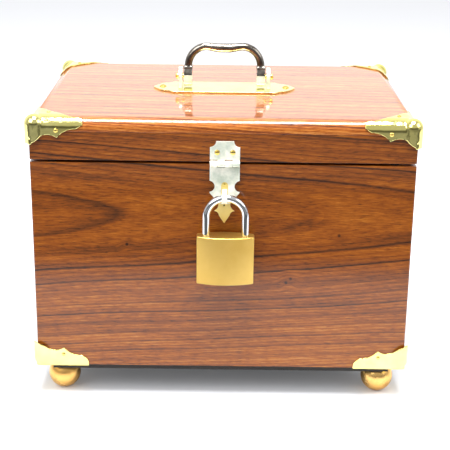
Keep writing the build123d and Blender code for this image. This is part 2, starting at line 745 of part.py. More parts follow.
def staple_holes():
    """The two slits in the front wall, and in the staple's plate, for the staple's legs."""
    slits = []
    for side in (-1, 1):
        z0, z1 = sorted((EYE_Z + side * EYE_RADIUS, EYE_Z + side * EYE_OUTER))
        x0, x1 = HASP_X - STAPLE_WIDTH / 2, HASP_X + STAPLE_WIDTH / 2
        slits.append(block(x0, x1, FRONT - STAPLE_PLATE_THICK, FRONT + STAPLE_LEG_IN, z0, z1))
    return slits + [place * shank(PIN_RADIUS, PIN_LENGTH) for place in staple_nail_places()]


def staple_nail_places():
    """Two flush nails, one above and one below the staple."""
    y = FRONT - STAPLE_PLATE_THICK
    rises = (-EYE_OUTER - STAPLE_NAIL_BELOW, EYE_OUTER + STAPLE_NAIL_ABOVE)
    return [Pos(HASP_X, y, EYE_Z + rise) * TO_FRONT for rise in rises]


def staple_nails():
    """The flush nails of the staple's plate."""
    return group([place * shank(PIN_RADIUS, PIN_LENGTH) for place in staple_nail_places()])


def staple_plate():
    """The leaf-shaped plate behind the staple, with a side tip each way and a long point below."""
    side = outline(
        (0, 10.0),
        [(3.0, 9.2), (4.15, 6.5)],
        [(4.15, -5.6)],
        [(4.1, -8.6), (6.8, -11.7)],
        [(4.3, -12.9), (3.6, -14.6)],
        [(1.95, -17.3), (0, -20.1)],
    )
    plate = Pos(HASP_X, 0, EYE_Z) * upright(both_sides(side), FRONT - STAPLE_PLATE_THICK, FRONT)
    return plate - staple_holes()


# ---- padlock ----
def shackle():
    """The padlock's bow: a long leg on the left, a short one on the right, both notched."""
    arch_z = SHACKLE_TOP_Z - SHACKLE_RADIUS - LEG_X
    path = (
        Line((-LEG_X, 0, LOCK_TOP - LONG_LEG_IN), (-LEG_X, 0, arch_z))
        + ThreePointArc((-LEG_X, 0, arch_z), (0, 0, arch_z + LEG_X), (LEG_X, 0, arch_z))
        + Line((LEG_X, 0, arch_z), (LEG_X, 0, LOCK_TOP - SHORT_LEG_IN))
    )
    bow = sweep(Plane(origin=path @ 0, z_dir=path % 0) * Circle(SHACKLE_RADIUS), path=path)
    bow = Pos(LOCK_X, LOCK_Y, 0) * bow
    return bow - latch_notch() - retainer_flat()


def latch_notch():
    """The tapered flat on the short leg that the latch stands in."""
    leg = LOCK_X + LEG_X - SHACKLE_RADIUS
    top = LATCH_TOP + KNUCKLE_GAP
    slope = LATCH_TRAVEL / UNLOCK_TRAVEL
    end = LOCK_TOP - SHORT_LEG_IN
    end_depth = NOTCH_DEPTH + 0.1 - slope * (top - LATCH_HEIGHT - KNUCKLE_GAP * 2 - end)
    side = outline(
        (leg - 1.0, top),
        [(leg + NOTCH_DEPTH + 0.1, top)],
        [(leg + NOTCH_DEPTH + 0.1, top - LATCH_HEIGHT - KNUCKLE_GAP * 2)],
        [(leg + end_depth, end)],
        [(leg - 1.0, end)],
    )
    return upright(side, LOCK_Y - SHACKLE_RADIUS, LOCK_Y + SHACKLE_RADIUS)


def retainer_flat():
    """The long flat on the long leg that the retaining pin slides along."""
    x = LOCK_X - LEG_X + SHACKLE_RADIUS
    z = LOCK_TOP - RETAINER_BELOW_TOP
    reach = RETAINER_RADIUS + KNUCKLE_GAP
    y0, y1 = LOCK_Y - SHACKLE_RADIUS, LOCK_Y + SHACKLE_RADIUS
    return block(x - reach, x + reach, y0, y1, z - UNLOCK_TRAVEL - reach, z + reach)


def lock_plan():
    """The padlock case seen from above, with a convex front and back."""
    half, edge, middle = LOCK_WIDTH / 2, LOCK_EDGE_THICK / 2, LOCK_THICK / 2
    return outline(
        (-half, -edge),
        [(0, -middle), (half, -edge)],
        [(half, edge)],
        [(0, middle), (-half, edge)],
    )


def lock_case():
    """The padlock's brass body, bored for the legs, the key plug, the tumblers and the latch."""
    case = extrude(lock_plan(), amount=LOCK_HEIGHT)
    case = fillet(case.edges().filter_by(Axis.Z), LOCK_CORNER)
    ends = case.faces().sort_by(Axis.Z)[-1].edges() + case.faces().sort_by(Axis.Z)[0].edges()
    case = chamfer(ends, LOCK_RIM)
    case = Pos(LOCK_X, LOCK_Y, LOCK_BASE) * case
    hole = SHACKLE_RADIUS + LEG_HOLE_CLEARANCE
    spring_room = TUMBLER_SPRING_LENGTH
    long_end = LOCK_TOP - LONG_LEG_IN - spring_room
    case = case - rod_z(hole, LOCK_X - LEG_X, LOCK_Y, long_end, LOCK_TOP)
    case = case - rod_z(hole, LOCK_X + LEG_X, LOCK_Y, LOCK_TOP - SHORT_LEG_IN - 1, LOCK_TOP)
    plug_room = PLUG_TOP + KNUCKLE_GAP
    case = case - rod_z(PLUG_RADIUS + RUNNING_CLEARANCE, LOCK_X, LOCK_Y, LOCK_BASE, plug_room)
    return case - latch_room(plug_room) - tumbler_rooms() - retaining_pin()


def latch_room(plug_room):
    """The space in the case for the latch's slide and the plug's peg."""
    gap = KNUCKLE_GAP
    x0, x1 = LOCK_X - PLUG_RADIUS - LATCH_TRAVEL, LOCK_X + LEG_X
    y0, y1 = LOCK_Y - LATCH_HALF_DEPTH - gap, LOCK_Y + LATCH_HALF_DEPTH + gap
    slide = block(x0, x1, y0, y1, LATCH_TOP - LATCH_HEIGHT - gap, LATCH_TOP + gap)
    return slide + rod_z(PLUG_RADIUS - 1, LOCK_X, LOCK_Y, plug_room, LATCH_TOP)


def tumbler_heights():
    """The heights of the tumbler bores, from the keyway's mouth upwards."""
    return [LOCK_BASE + TUMBLER_SPACING * (k + 1) for k in range(TUMBLER_COUNT)]


def tumbler_rooms():
    """The bores to the right of the plug for the driver pins and their springs."""
    x0 = LOCK_X + PLUG_RADIUS - 0.5
    x1 = LOCK_X + PLUG_RADIUS + DRIVER_LENGTH + TUMBLER_SPRING_LENGTH + KNUCKLE_GAP
    radius = TUMBLER_RADIUS + RUNNING_CLEARANCE
    return [rod_x(radius, x0, x1, LOCK_Y, z) for z in tumbler_heights()]


def key_plug():
    """The plug that the key turns: a keyway, four tumbler bores and a peg that draws the latch."""
    plug = rod_z(PLUG_RADIUS, LOCK_X, LOCK_Y, LOCK_BASE, PLUG_TOP)
    x0, x1 = LOCK_X - 3.4, LOCK_X + 1.4
    plug = plug - block(x0, x1, LOCK_Y - KEYWAY_HALF, LOCK_Y + KEYWAY_HALF, LOCK_BASE, PLUG_TOP - KEYWAY_STOP)
    for z in tumbler_heights():
        plug = plug - rod_x(TUMBLER_RADIUS, LOCK_X + 1.0, LOCK_X + PLUG_RADIUS, LOCK_Y, z)
    peg = rod_z(PEG_RADIUS, PEG_OFF, 0, PLUG_TOP, LATCH_TOP - PEG_SHORT)
    peg = Pos(LOCK_X, LOCK_Y, 0) * Rot(0, 0, peg_angle()) * peg
    return plug + peg


def peg_angle():
    """Where the peg stands when locked, so that a quarter turn draws the latch by its travel."""
    return degrees(asin(LATCH_TRAVEL / PEG_OFF / sqrt(2))) - 45


def key_pins():
    """The lower tumblers, which turn with the plug."""
    x0, x1 = LOCK_X + 1.6, LOCK_X + PLUG_RADIUS - 0.12
    return group([rod_x(TUMBLER_RADIUS, x0, x1, LOCK_Y, z) for z in tumbler_heights()])


def driver_pins():
    """The upper tumblers, which stay in the case."""
    x0 = LOCK_X + PLUG_RADIUS + RUNNING_CLEARANCE + 0.1
    return group([rod_x(TUMBLER_RADIUS, x0, x0 + DRIVER_LENGTH, LOCK_Y, z) for z in tumbler_heights()])


def coil_spring(radius, length, turns):
    """A coil spring standing on the origin."""
    wire = SPRING_WIRE_RADIUS if radius > 1.5 else SPRING_WIRE_RADIUS * 0.6
    path = Helix(pitch=(length - 2 * wire) / turns, height=length - 2 * wire, radius=radius - wire)
    return Pos(0, 0, wire) * sweep(Plane(origin=path @ 0, z_dir=path % 0) * Circle(wire), path=path)


def driver_springs():
    """The springs behind the driver pins."""
    x0 = LOCK_X + PLUG_RADIUS + RUNNING_CLEARANCE + 0.15 + DRIVER_LENGTH
    spring = Rot(0, 90, 0) * coil_spring(TUMBLER_RADIUS - 0.1, TUMBLER_SPRING_LENGTH - 0.25, 5)
    return group([Pos(x0, LOCK_Y, z) * spring for z in tumbler_heights()])


def shackle_spring():
    """The spring under the long leg that lifts the bow when the latch lets go."""
    z = LOCK_TOP - LONG_LEG_IN - TUMBLER_SPRING_LENGTH + 0.1
    spring = coil_spring(SHACKLE_RADIUS - 0.3, TUMBLER_SPRING_LENGTH - 0.3, 4)
    return Pos(LOCK_X - LEG_X, LOCK_Y, z) * spring


def latch():
    """The sliding latch between the plug's peg and the short leg's notch."""
    x0, x1 = LOCK_X - LATCH_TAIL, LOCK_X + LEG_X - SHACKLE_RADIUS + NOTCH_DEPTH
    y0, y1 = LOCK_Y - LATCH_HALF_DEPTH, LOCK_Y + LATCH_HALF_DEPTH
    base = LATCH_TOP - LATCH_HEIGHT
    slide = block(x0, x1, y0, y1, base, LATCH_TOP)
    window = block(LOCK_X + WINDOW_START, LOCK_X + WINDOW_END, y0, y1, base, LATCH_TOP)
    rib = block(x0, x1, y0, y1, LATCH_TOP - LATCH_RIB, LATCH_TOP)
    return slide - window + rib


def retaining_pin():
    """The pin that keeps the long leg in the case."""
    x, z = LOCK_X - LEG_X + SHACKLE_RADIUS, LOCK_TOP - RETAINER_BELOW_TOP
    reach = LOCK_EDGE_THICK / 2 + RETAINER_PAST
    return rod_y(RETAINER_RADIUS, x, LOCK_Y - reach, LOCK_Y + reach, z)


# ---- donation slot ----
def slot_shape(length, height, y0, y1):
    """A round-ended slot through the back."""
    return Pos(0, 0, SLOT_Z) * upright(SlotOverall(length, height), y0, y1)


def coin_slot():
    """The slot through the back wall."""
    return slot_shape(SLOT_LENGTH, SLOT_HEIGHT, BACK - WALL, BACK)


def slot_plate():
    """The brass plate round the slot on the back."""
    plate = slot_shape(SLOT_PLATE_LENGTH, SLOT_PLATE_HEIGHT, BACK, BACK + SHEET)
    return drilled(plate - slot_shape(SLOT_LENGTH, SLOT_HEIGHT, BACK, BACK + SHEET), SLOT_PINS)


# ---- every sub-part by name ----
def sub_parts():
    """Each node's name and shape."""
    nodes = {}
    for side in ("front", "back", "left", "right"):
        nodes[f"{side}_wall"] = body_wall(side)
        nodes[f"lid_{side}_rail"] = lid_rail(side)
    nodes["floor_panel"] = floor_panel()
    nodes["floor_felt"] = floor_felt()
    nodes["rim_strips"] = rim_strips()
    nodes["lid_bumpers"] = lid_bumpers()
    nodes["lid_top_panel"] = lid_top_panel()
    lid_corner, base_corner = corner_cap(LID_ROUNDOVER), corner_cap(0)
    for name, sx, sy in CORNERS:
        nodes[f"foot_{name}"] = foot(sx, sy)
        nodes[f"lid_cap_{name}"] = lid_cap(lid_corner, sx, sy)
        nodes[f"base_cap_{name}"] = base_cap(base_corner, sx, sy)
    nodes["foot_studs"] = group(foot_studs_list())
    nodes["lid_cap_pins"] = nails(LID_CAP_PINS)
    nodes["base_cap_pins"] = nails(BASE_CAP_PINS)
    nodes["handle_plate"] = handle_plate()
    nodes["handle_plate_screws"] = screws(PLATE_SCREWS)
    nodes["bail"] = bail()
    nodes["bail_pivot_pins"] = pivot_pins()
    for name, sx in (("left", -1), ("right", 1)):
        nodes[f"handle_ear_{name}"] = ear(sx)
        nodes[f"hinge_lid_leaf_{name}"] = rear_leaf(sx, 1)
        nodes[f"hinge_body_leaf_{name}"] = rear_leaf(sx, -1)
        nodes[f"hinge_pin_{name}"] = hinge_pin(sx * HINGE_X, HINGE_WIDTH, HINGE_Y)
    nodes["hinge_lid_screws"] = screws(hinge_screw_places(1))
    nodes["hinge_body_screws"] = screws(hinge_screw_places(-1))
    nodes["hasp_top_leaf"] = hasp_top_leaf()
    nodes["hasp_pins"] = hasp_pins()
    nodes["hasp_hinge_pin"] = hinge_pin(HASP_X, HASP_WIDTH, HASP_Y)
    nodes["hasp_swing_leaf"] = hasp_swing_leaf()
    nodes["staple"] = staple()
    nodes["staple_plate"] = staple_plate()
    nodes["staple_nails"] = staple_nails()
    nodes["slot_plate"] = slot_plate()
    nodes["slot_plate_pins"] = nails(SLOT_PINS)
    nodes["shackle"] = shackle()
    nodes["lock_case"] = lock_case()
    nodes["key_plug"] = key_plug()
    nodes["key_pins"] = key_pins()
    nodes["driver_pins"] = driver_pins()
    nodes["driver_springs"] = driver_springs()
    nodes["shackle_spring"] = shackle_spring()
    nodes["retaining_pin"] = retaining_pin()
    nodes["latch"] = latch()
    return nodes


os.makedirs("parts", exist_ok=True)
for node, shape in sub_parts().items():
    export_step(Pos(0, -CENTRE_Y, 0) * shape, f"parts/{node}.step")
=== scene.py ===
"""A lockable donation box: lacquered walnut on turned brass feet, with stamped brass corners, a bail
handle, and a hasp, staple and padlock. Everything is in metres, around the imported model."""

from math import acos, cos, pi, radians, sin

import bpy
from mathutils import Matrix, Vector


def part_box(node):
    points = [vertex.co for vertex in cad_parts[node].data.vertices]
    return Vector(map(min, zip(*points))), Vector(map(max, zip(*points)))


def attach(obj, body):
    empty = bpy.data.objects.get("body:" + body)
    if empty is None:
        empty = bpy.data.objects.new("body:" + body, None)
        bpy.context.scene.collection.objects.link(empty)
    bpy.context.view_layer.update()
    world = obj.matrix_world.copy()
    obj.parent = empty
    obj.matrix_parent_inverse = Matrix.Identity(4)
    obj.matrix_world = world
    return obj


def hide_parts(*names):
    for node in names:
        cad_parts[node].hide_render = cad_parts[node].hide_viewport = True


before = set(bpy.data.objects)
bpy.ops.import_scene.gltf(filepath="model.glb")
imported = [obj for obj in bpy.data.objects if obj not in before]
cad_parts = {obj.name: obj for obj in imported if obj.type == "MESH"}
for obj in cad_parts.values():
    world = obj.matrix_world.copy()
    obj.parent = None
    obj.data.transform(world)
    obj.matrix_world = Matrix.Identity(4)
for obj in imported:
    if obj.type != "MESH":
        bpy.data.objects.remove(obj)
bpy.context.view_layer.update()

MM = 0.001

# ---- the case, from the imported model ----
FRONT_LO, FRONT_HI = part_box("front_wall")
PANEL_LO, PANEL_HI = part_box("lid_top_panel")
LEFT, RIGHT = FRONT_LO.x, FRONT_HI.x
FRONT, BACK = FRONT_LO.y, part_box("back_wall")[1].y
MIDDLE_Y = (FRONT + BACK) / 2
BODY_BASE, BODY_TOP = FRONT_LO.z, FRONT_HI.z
LID_BASE, LID_SEAM, LID_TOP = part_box("lid_front_rail")[0].z, PANEL_LO.z, PANEL_HI.z
WALL = 9.5 * MM
# the lid's top edges are well rounded; the others only have their sharpness taken off
ROUNDOVER = 7.3 * MM
EDGE_EASE = 0.7 * MM
UPRIGHT_EASE, RIM_EASE = 1.12 * MM, 0.35 * MM
# thickness of the sheet metal of the caps, hinges and hasp
SHEET = 1.0 * MM

# ---- caps ----
# nails on each cap: this far along from the corner and in from the edge, and one on top
CAP_PIN_ALONG = 18.0 * MM
CAP_PIN_IN = 8.3 * MM
CAP_PIN_DIAGONAL = 12.0 * MM
CAP_MESH = 0.36 * MM
CAP_SOFT_REACH = 9.0 * MM
# raised beads on the lid's front left cap: (place in millimetres from the lid's corner, radius)
BEADS = [
    ((3.6, -1.9, -6.4), 1.3), ((4.6, -1.5, -11.6), 1.4), ((1.6, -1.7, -13.0), 1.3),
    ((-1.5, 3.6, -6.4), 1.3), ((-1.5, 4.6, -11.6), 1.4), ((-1.4, 1.6, -13.0), 1.3)]

# ---- nails and screws ----
# head radius, dome height, shank radius and length under the head
NAIL_HEAD, NAIL_DOME, NAIL_SHANK, NAIL_LENGTH = 1.4 * MM, 0.7 * MM, 0.7 * MM, 8.0 * MM
HASP_NAIL_HEAD = 1.8 * MM
SCREW_HEAD, SCREW_DOME, SCREW_SHANK, SCREW_LENGTH = 2.6 * MM, 1.3 * MM, 1.3 * MM, 7.5 * MM
DRIVER_SLOT = 0.56 * MM
PLATE_SCREW_X = 44.4 * MM
SLOT_PIN_X = 51.0 * MM

# ---- slot ----
# the opening in the back wall, and how far its cutter reaches inside and outside
SLOT_LENGTH, SLOT_HEIGHT = 90.0 * MM, 5.4 * MM
SLOT_CUT_IN, SLOT_CUT_OUT = 12.0 * MM, 3.0 * MM

# ---- feet ----
FOOT_INSET = 16.0 * MM
FOOT_RADIUS, FOOT_CENTRE = 11.2 * MM, 10.8 * MM
# the neck meets the ball this far above its centre
FOOT_BALL_REACH = 9.9 * MM
FOOT_FLAT = 2.97 * MM
FOOT_NECK, FOOT_COLLAR = 4.75 * MM, 5.0 * MM
FOOT_NECK_BASE, FOOT_NECK_TOP = 20.9 * MM, 21.4 * MM
FOOT_COLLAR_BASE, FOOT_TOP = 21.7 * MM, 23.5 * MM

# ---- hinges and hasp ----
# nails and screws are placed from the knuckle at the seam; HINGE_X and HASP_X from the case's middle
HINGE_SCREW_SPREAD = 12.2 * MM
HINGE_SCREW_RISE = 9.6 * MM
HINGE_X = 75.0 * MM
HINGE_Z = (BODY_TOP + LID_BASE) / 2
HASP_X = 1.0 * MM
HASP_PIN_APART = 10.2 * MM
HASP_PIN_RISE = 7.5 * MM

# ---- handle ----
# the bail's bar swells between its eyes and is pressed hollow under the hand
EAR_OUTSIDE = 32.95 * MM
PIVOT_Z = 208.5 * MM
PIVOT_SHANK, PIVOT_DEEP = 1.6 * MM, 9.7 * MM
PIVOT_HEAD, PIVOT_HEAD_STEP, PIVOT_HEAD_DOME = 2.1 * MM, 1.3 * MM, 1.1 * MM
BAIL_MESH = 0.32 * MM
BAIL_BAR_START = 6.0 * MM
BAIL_SWELL = 0.35 * MM
# the bail's eyes reach this high over the pivot, and are coloured paler there as a painted highlight
BAIL_EYE_TOP = 1.2 * MM
GRIP_HOLLOW = 1.2 * MM
GRIP_HOLLOW_HALF = 3.0 * MM
GRIP_HOLLOW_REACH = 13.0 * MM
GRIP_ABOVE_PIVOT = 15.0 * MM

# ---- padlock ----
LEG_X = 12.95 * MM
BOW_RADIUS = 2.55 * MM
SHORT_LEG_DEEP = 9.0 * MM
LOCK_TOP_ROUND = 1.7 * MM
LOCK_EDGE_ROUND = 0.35 * MM
# a curve's handles reach this share of the radius when it bends through a quarter circle
QUARTER = 0.5523

TO_UP = Matrix.Identity(4)
TO_FRONT = Matrix.Rotation(pi / 2, 4, "X")
TO_BACK = Matrix.Rotation(-pi / 2, 4, "X")
TO_RIGHT = Matrix.Rotation(pi / 2, 4, "Y")
TO_LEFT = Matrix.Rotation(-pi / 2, 4, "Y")
CORNERS = [("front_left", -1, -1), ("front_right", 1, -1), ("back_left", -1, 1), ("back_right", 1, 1)]


# ---- bench work ----
def pick(*objects):
    """Selects these objects only; the first is the one worked on."""
    bpy.ops.object.select_all(action="DESELECT")
    for obj in objects:
        obj.select_set(True)
    bpy.context.view_layer.objects.active = objects[0]


def edit(obj, kind="VERT"):
    """Opens a piece for editing with everything in it selected, by points, edges or faces."""
    pick(obj)
    bpy.ops.object.mode_set(mode="EDIT")
    bpy.ops.mesh.select_mode(type=kind)
    bpy.ops.mesh.select_all(action="SELECT")


def close():
    """Leaves editing."""
    bpy.ops.object.mode_set(mode="OBJECT")


def block(name, x0, x1, y0, y1, z0, z1):
    """A block between two corners, to be worked further."""
    bpy.ops.object.select_all(action="DESELECT")
    bpy.ops.mesh.primitive_cube_add(size=1, location=((x0 + x1) / 2, (y0 + y1) / 2, (z0 + z1) / 2))
    obj = bpy.context.object
    obj.name = name
    obj.scale = (x1 - x0, y1 - y0, z1 - z0)
    bpy.ops.object.transform_apply(location=True, rotation=True, scale=True)
    return obj


def round_edges(obj, test, width, segments):
    """Rounds the edges whose two ends pass a test."""
    edit(obj, "EDGE")
    bpy.ops.mesh.select_all(action="DESELECT")
    close()
    points = obj.data.vertices
    for line in obj.data.edges:
        a, b = (points[i].co for i in line.vertices)
        line.select = test(a, b)
    pick(obj)
    bpy.ops.object.mode_set(mode="EDIT")
    bpy.ops.mesh.bevel(offset=width, segments=segments, profile=0.5, affect="EDGES", clamp_overlap=True)
    close()


def saw(obj, point, normal):
    """Cuts off all that lies beyond a plane and closes the cut."""
    edit(obj)
    bpy.ops.mesh.bisect(plane_co=point, plane_no=normal, use_fill=True, clear_outer=True)
    close()


def worked(obj, kind, **settings):
    """Runs one modifier over a piece and keeps the result."""
    pick(obj)
    modifier = obj.modifiers.new(kind.title(), kind)
    for key, value in settings.items():
        setattr(modifier, key, value)
    bpy.ops.object.modifier_apply(modifier=modifier.name)
    return obj


def smoothed(obj, angle=35.0):
    """Shades a piece smooth except over its sharper edges, with its flats kept flat."""
    pick(obj)
    bpy.ops.object.shade_smooth_by_angle(angle=radians(angle))
    return worked(obj, "WEIGHTED_NORMAL", weight=50, keep_sharp=True)


def eased(obj, width, segments=3, angle=35.0):
    """Takes the sharpness off every hard edge."""
    worked(obj, "BEVEL", width=width, segments=segments, limit_method="ANGLE", angle_limit=radians(angle))
    return smoothed(obj)


def cut_out(obj, tool):
    """Cuts a tool's shape out of a piece and throws the tool away."""
    worked(obj, "BOOLEAN", operation="DIFFERENCE", solver="EXACT", object=tool)
    bpy.data.objects.remove(tool)
    return obj


def traced(node, name, flat=True):
    """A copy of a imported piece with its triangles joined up, to be worked further."""
    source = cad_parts[node]
    obj = bpy.data.objects.new(name, source.data.copy())
    bpy.context.scene.collection.objects.link(obj)
    edit(obj)
    bpy.ops.mesh.remove_doubles(threshold=0.00002)
    if flat:
        bpy.ops.mesh.dissolve_limited(angle_limit=radians(1.5))
    bpy.ops.mesh.normals_make_consistent(inside=False)
    close()
    return obj


def copy_at(obj, name, place):
    """A copy of a piece with its own mesh, put in its place."""
    made = bpy.data.objects.new(name, obj.data.copy())
    bpy.context.scene.collection.objects.link(made)
    made.data.transform(place)
    return made


def mirrored(obj, name, sx, sy):
    """A copy of a piece from the front left corner, turned into another corner."""
    flip = Matrix.Diagonal((-sx, -sy, 1, 1))
    centre = Matrix.Translation((0, MIDDLE_Y, 0))
    made = copy_at(obj, name, centre @ flip @ centre.inverted())
    edit(made)
    bpy.ops.mesh.normals_make_consistent(inside=False)
    close()
    pick(made)
    bpy.ops.object.shade_smooth_by_angle(angle=radians(50))
    return made


def joined(name, parts):
    """Several pieces made one."""
    pick(*parts)
    bpy.ops.object.join()
    parts[0].name = name
    return parts[0]


def turned(name, rings, steps=40):
    """A lathe-turned piece on the Z axis, drawn up through rings of (radius, height)."""
    bpy.ops.object.select_all(action="DESELECT")
    radius, height = rings[0]
    bpy.ops.mesh.primitive_circle_add(
        vertices=steps, radius=radius, fill_type="NGON", location=(0, 0, height))
    obj = bpy.context.object
    bpy.ops.object.transform_apply(location=True, rotation=True, scale=True)
    edit(obj, "FACE")
    for wide, high in rings[1:]:
        bpy.ops.mesh.extrude_region_move(TRANSFORM_OT_translate={"value": (0, 0, high - height)})
        share = wide / radius
        bpy.ops.transform.resize(value=(share, share, 1), center_override=(0, 0, high))
        radius, height = wide, high
    bpy.ops.mesh.select_all(action="SELECT")
    bpy.ops.mesh.normals_make_consistent(inside=False)
    close()
    obj.name = name
    return smoothed(obj, 30)


def tube(name, points, radius, sides=10):
    """A drawn bar along a smooth line of (point, handle before, handle after)."""
    line = bpy.data.curves.new(name, "CURVE")
    line.dimensions = "3D"
    line.bevel_depth = radius
    line.bevel_resolution = sides
    line.resolution_u = 24
    line.use_fill_caps = True
    run = line.splines.new("BEZIER")
    run.bezier_points.add(len(points) - 1)
    for knot, (at, before, after) in zip(run.bezier_points, points):
        knot.handle_left_type = knot.handle_right_type = "FREE"
        knot.co, knot.handle_left, knot.handle_right = at, before, after
    obj = bpy.data.objects.new(name, line)
    bpy.context.scene.collection.objects.link(obj)
    pick(obj)
    bpy.ops.object.convert(target="MESH")
    obj = bpy.context.object
    edit(obj)
    bpy.ops.mesh.remove_doubles(threshold=0.00001)
    bpy.ops.mesh.normals_make_consistent(inside=False)
    close()
    return smoothed(obj, 40)


def settle(obj, material, body, slot, *nodes):
    """Gives a finished piece its finish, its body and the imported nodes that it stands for."""
    obj.data.materials.clear()
    obj.data.materials.append(material)
    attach(obj, body)
    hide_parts(*nodes)
    return obj


# ---- finishes ----
def tint(code):
    """An sRGB hex colour as linear light."""
    parts = [int(code[i:i + 2], 16) / 255 for i in (0, 2, 4)]
    return tuple(c / 12.92 if c < 0.04045 else ((c + 0.055) / 1.055) ** 2.4 for c in parts) + (1.0,)


def grey(value):
    """A plain grey for a ramp."""
    return (value, value, value, 1.0)


def add(tree, kind, settings=None, inputs=None, stops=None):
    """Adds a node with its settings. An input given a node or a socket is linked to it, and a ramp
    gets its stops of (place, colour)."""
    made = tree.nodes.new("ShaderNode" + kind)
    for key, value in (settings or {}).items():
        setattr(made, key, value)
    for key, value in (inputs or {}).items():
        if isinstance(value, bpy.types.Node):
            value = value.outputs[0]
        if isinstance(value, bpy.types.NodeSocket):
            tree.links.new(value, made.inputs[key])
        else:
            made.inputs[key].default_value = value
    if stops:
        bar = made.color_ramp.elements
        while len(bar) < len(stops):
            bar.new(1.0)
        for stop, (place, colour) in zip(bar, stops):
            stop.position = place
            stop.color = colour
    return made


def fresh(name):
    """An empty material with its shader and output."""
    material = bpy.data.materials.new(name)
    material.use_nodes = True
    tree = material.node_tree
    tree.nodes.clear()
    shader = add(tree, "BsdfPrincipled")
    add(tree, "OutputMaterial", inputs={"Surface": shader})
    return material, tree, shader


# ---- walnut: sizes in millimetres ----
LOOP_HEART = 133.5
LOOP_HALF_WIDTH = 45.0
LOOP_REACH = 900.0
GRAIN_ROLL = 0.8
SWAY = 9.0
FLUTTER = 1.3
RING_EVERY = 130.0
RING_START = 1.48
FINER_RINGS = 3.3
# small tight knots in the front board: (right of the middle, up)
KNOTS = [(46.5, 89.4), (43.4, 86.6), (78.0, 121.0), (-64.0, 113.0)]
KNOT_BEND, KNOT_BEND_REACH = 26.0, 10.0
KNOT_DARK, KNOT_CORE, KNOT_RIM = 0.4, 0.4, 1.5
# wood colours from the darkest line to the palest streak: the brown walls, and a paler copy of them for the
# board on top, which is painted light on its upward face
WALL_WOOD = [
    (0.0, "1C110B"), (0.22, "42240F"), (0.45, "6A3711"),
    (0.65, "854510"), (0.85, "9A5918"), (1.0, "AD702C")]
TOP_WOOD_PAINTED_LIGHT = [
    (0.0, "2E1408"), (0.22, "632D12"), (0.45, "8C481A"),
    (0.65, "B06628"), (0.85, "C47E3A"), (1.0, "D49A58")]


def streaks(tree, grain, along, over, detail, rough=0.55):
    """Noise drawn out along the grain, from its two sizes in millimetres."""
    drawn = add(tree, "Mapping", inputs={"Vector": grain, "Scale": (1 / along, 1 / over, 1 / over)})
    return add(tree, "TexNoise", inputs={
        "Vector": drawn, "Scale": 1.0, "Detail": detail, "Roughness": rough})


def growth(tree, grain):
    """The way the tree grew: how far across the loops each point lies, its count of growth rings, and
    the dark of the knots that the rings part around."""
    split = add(tree, "SeparateXYZ", inputs={"Vector": grain})
    # the figure rolls over the lid's front edge on to its top
    roll = add(tree, "Math", {"operation": "MULTIPLY_ADD"}, {
        0: split.outputs["Y"], 1: GRAIN_ROLL, 2: -GRAIN_ROLL * FRONT / MM - LOOP_HEART})
    up = add(tree, "Math", {"operation": "ADD"}, {0: split.outputs["Z"], 1: roll})
    swayed = add(tree, "Math", {"operation": "MULTIPLY_ADD"}, {
        0: streaks(tree, grain, 190, 50, 1.0), 1: SWAY, 2: up})
    across = add(tree, "Math", {"operation": "MULTIPLY_ADD"}, {
        0: streaks(tree, grain, 45, 7, 2.0), 1: FLUTTER, 2: swayed})
    centred = add(tree, "Math", {"operation": "SUBTRACT"}, {0: across, 1: (SWAY + FLUTTER) / 2})
    share = add(tree, "Math", {"operation": "DIVIDE"}, {0: centred, 1: LOOP_HALF_WIDTH})
    # the loops are hyperbolas: a round point between two straight sides
    square = add(tree, "Math", {"operation": "MULTIPLY_ADD"}, {0: share, 1: share, 2: 1.0})
    root = add(tree, "Math", {"operation": "SQRT"}, {0: square})
    bowl = add(tree, "Math", {"operation": "MULTIPLY_ADD"}, {0: root, 1: LOOP_REACH, 2: -LOOP_REACH})
    height = add(tree, "Math", {"operation": "ADD"}, {0: bowl, 1: split.outputs["X"]})
    spots = 0.0
    for right, high in KNOTS:
        off = add(tree, "VectorMath", {"operation": "DISTANCE"}, {0: grain, 1: (right, FRONT / MM, high)})
        bulge = add(tree, "MapRange", {"interpolation_type": "SMOOTHSTEP"}, {
            "Value": off.outputs["Value"], "From Min": 0.0, "From Max": KNOT_BEND_REACH,
            "To Min": KNOT_BEND, "To Max": 0.0})
        height = add(tree, "Math", {"operation": "ADD"}, {0: height, 1: bulge})
        spot = add(tree, "MapRange", {"interpolation_type": "SMOOTHSTEP"}, {
            "Value": off.outputs["Value"], "From Min": KNOT_CORE, "From Max": KNOT_RIM,
            "To Min": KNOT_DARK, "To Max": 0.0})
        spots = add(tree, "Math", {"operation": "ADD"}, {0: spots, 1: spot})
    rings = add(tree, "Math", {"operation": "MULTIPLY_ADD"}, {0: height, 1: 1 / RING_EVERY, 2: RING_START})
    return share, rings, spots


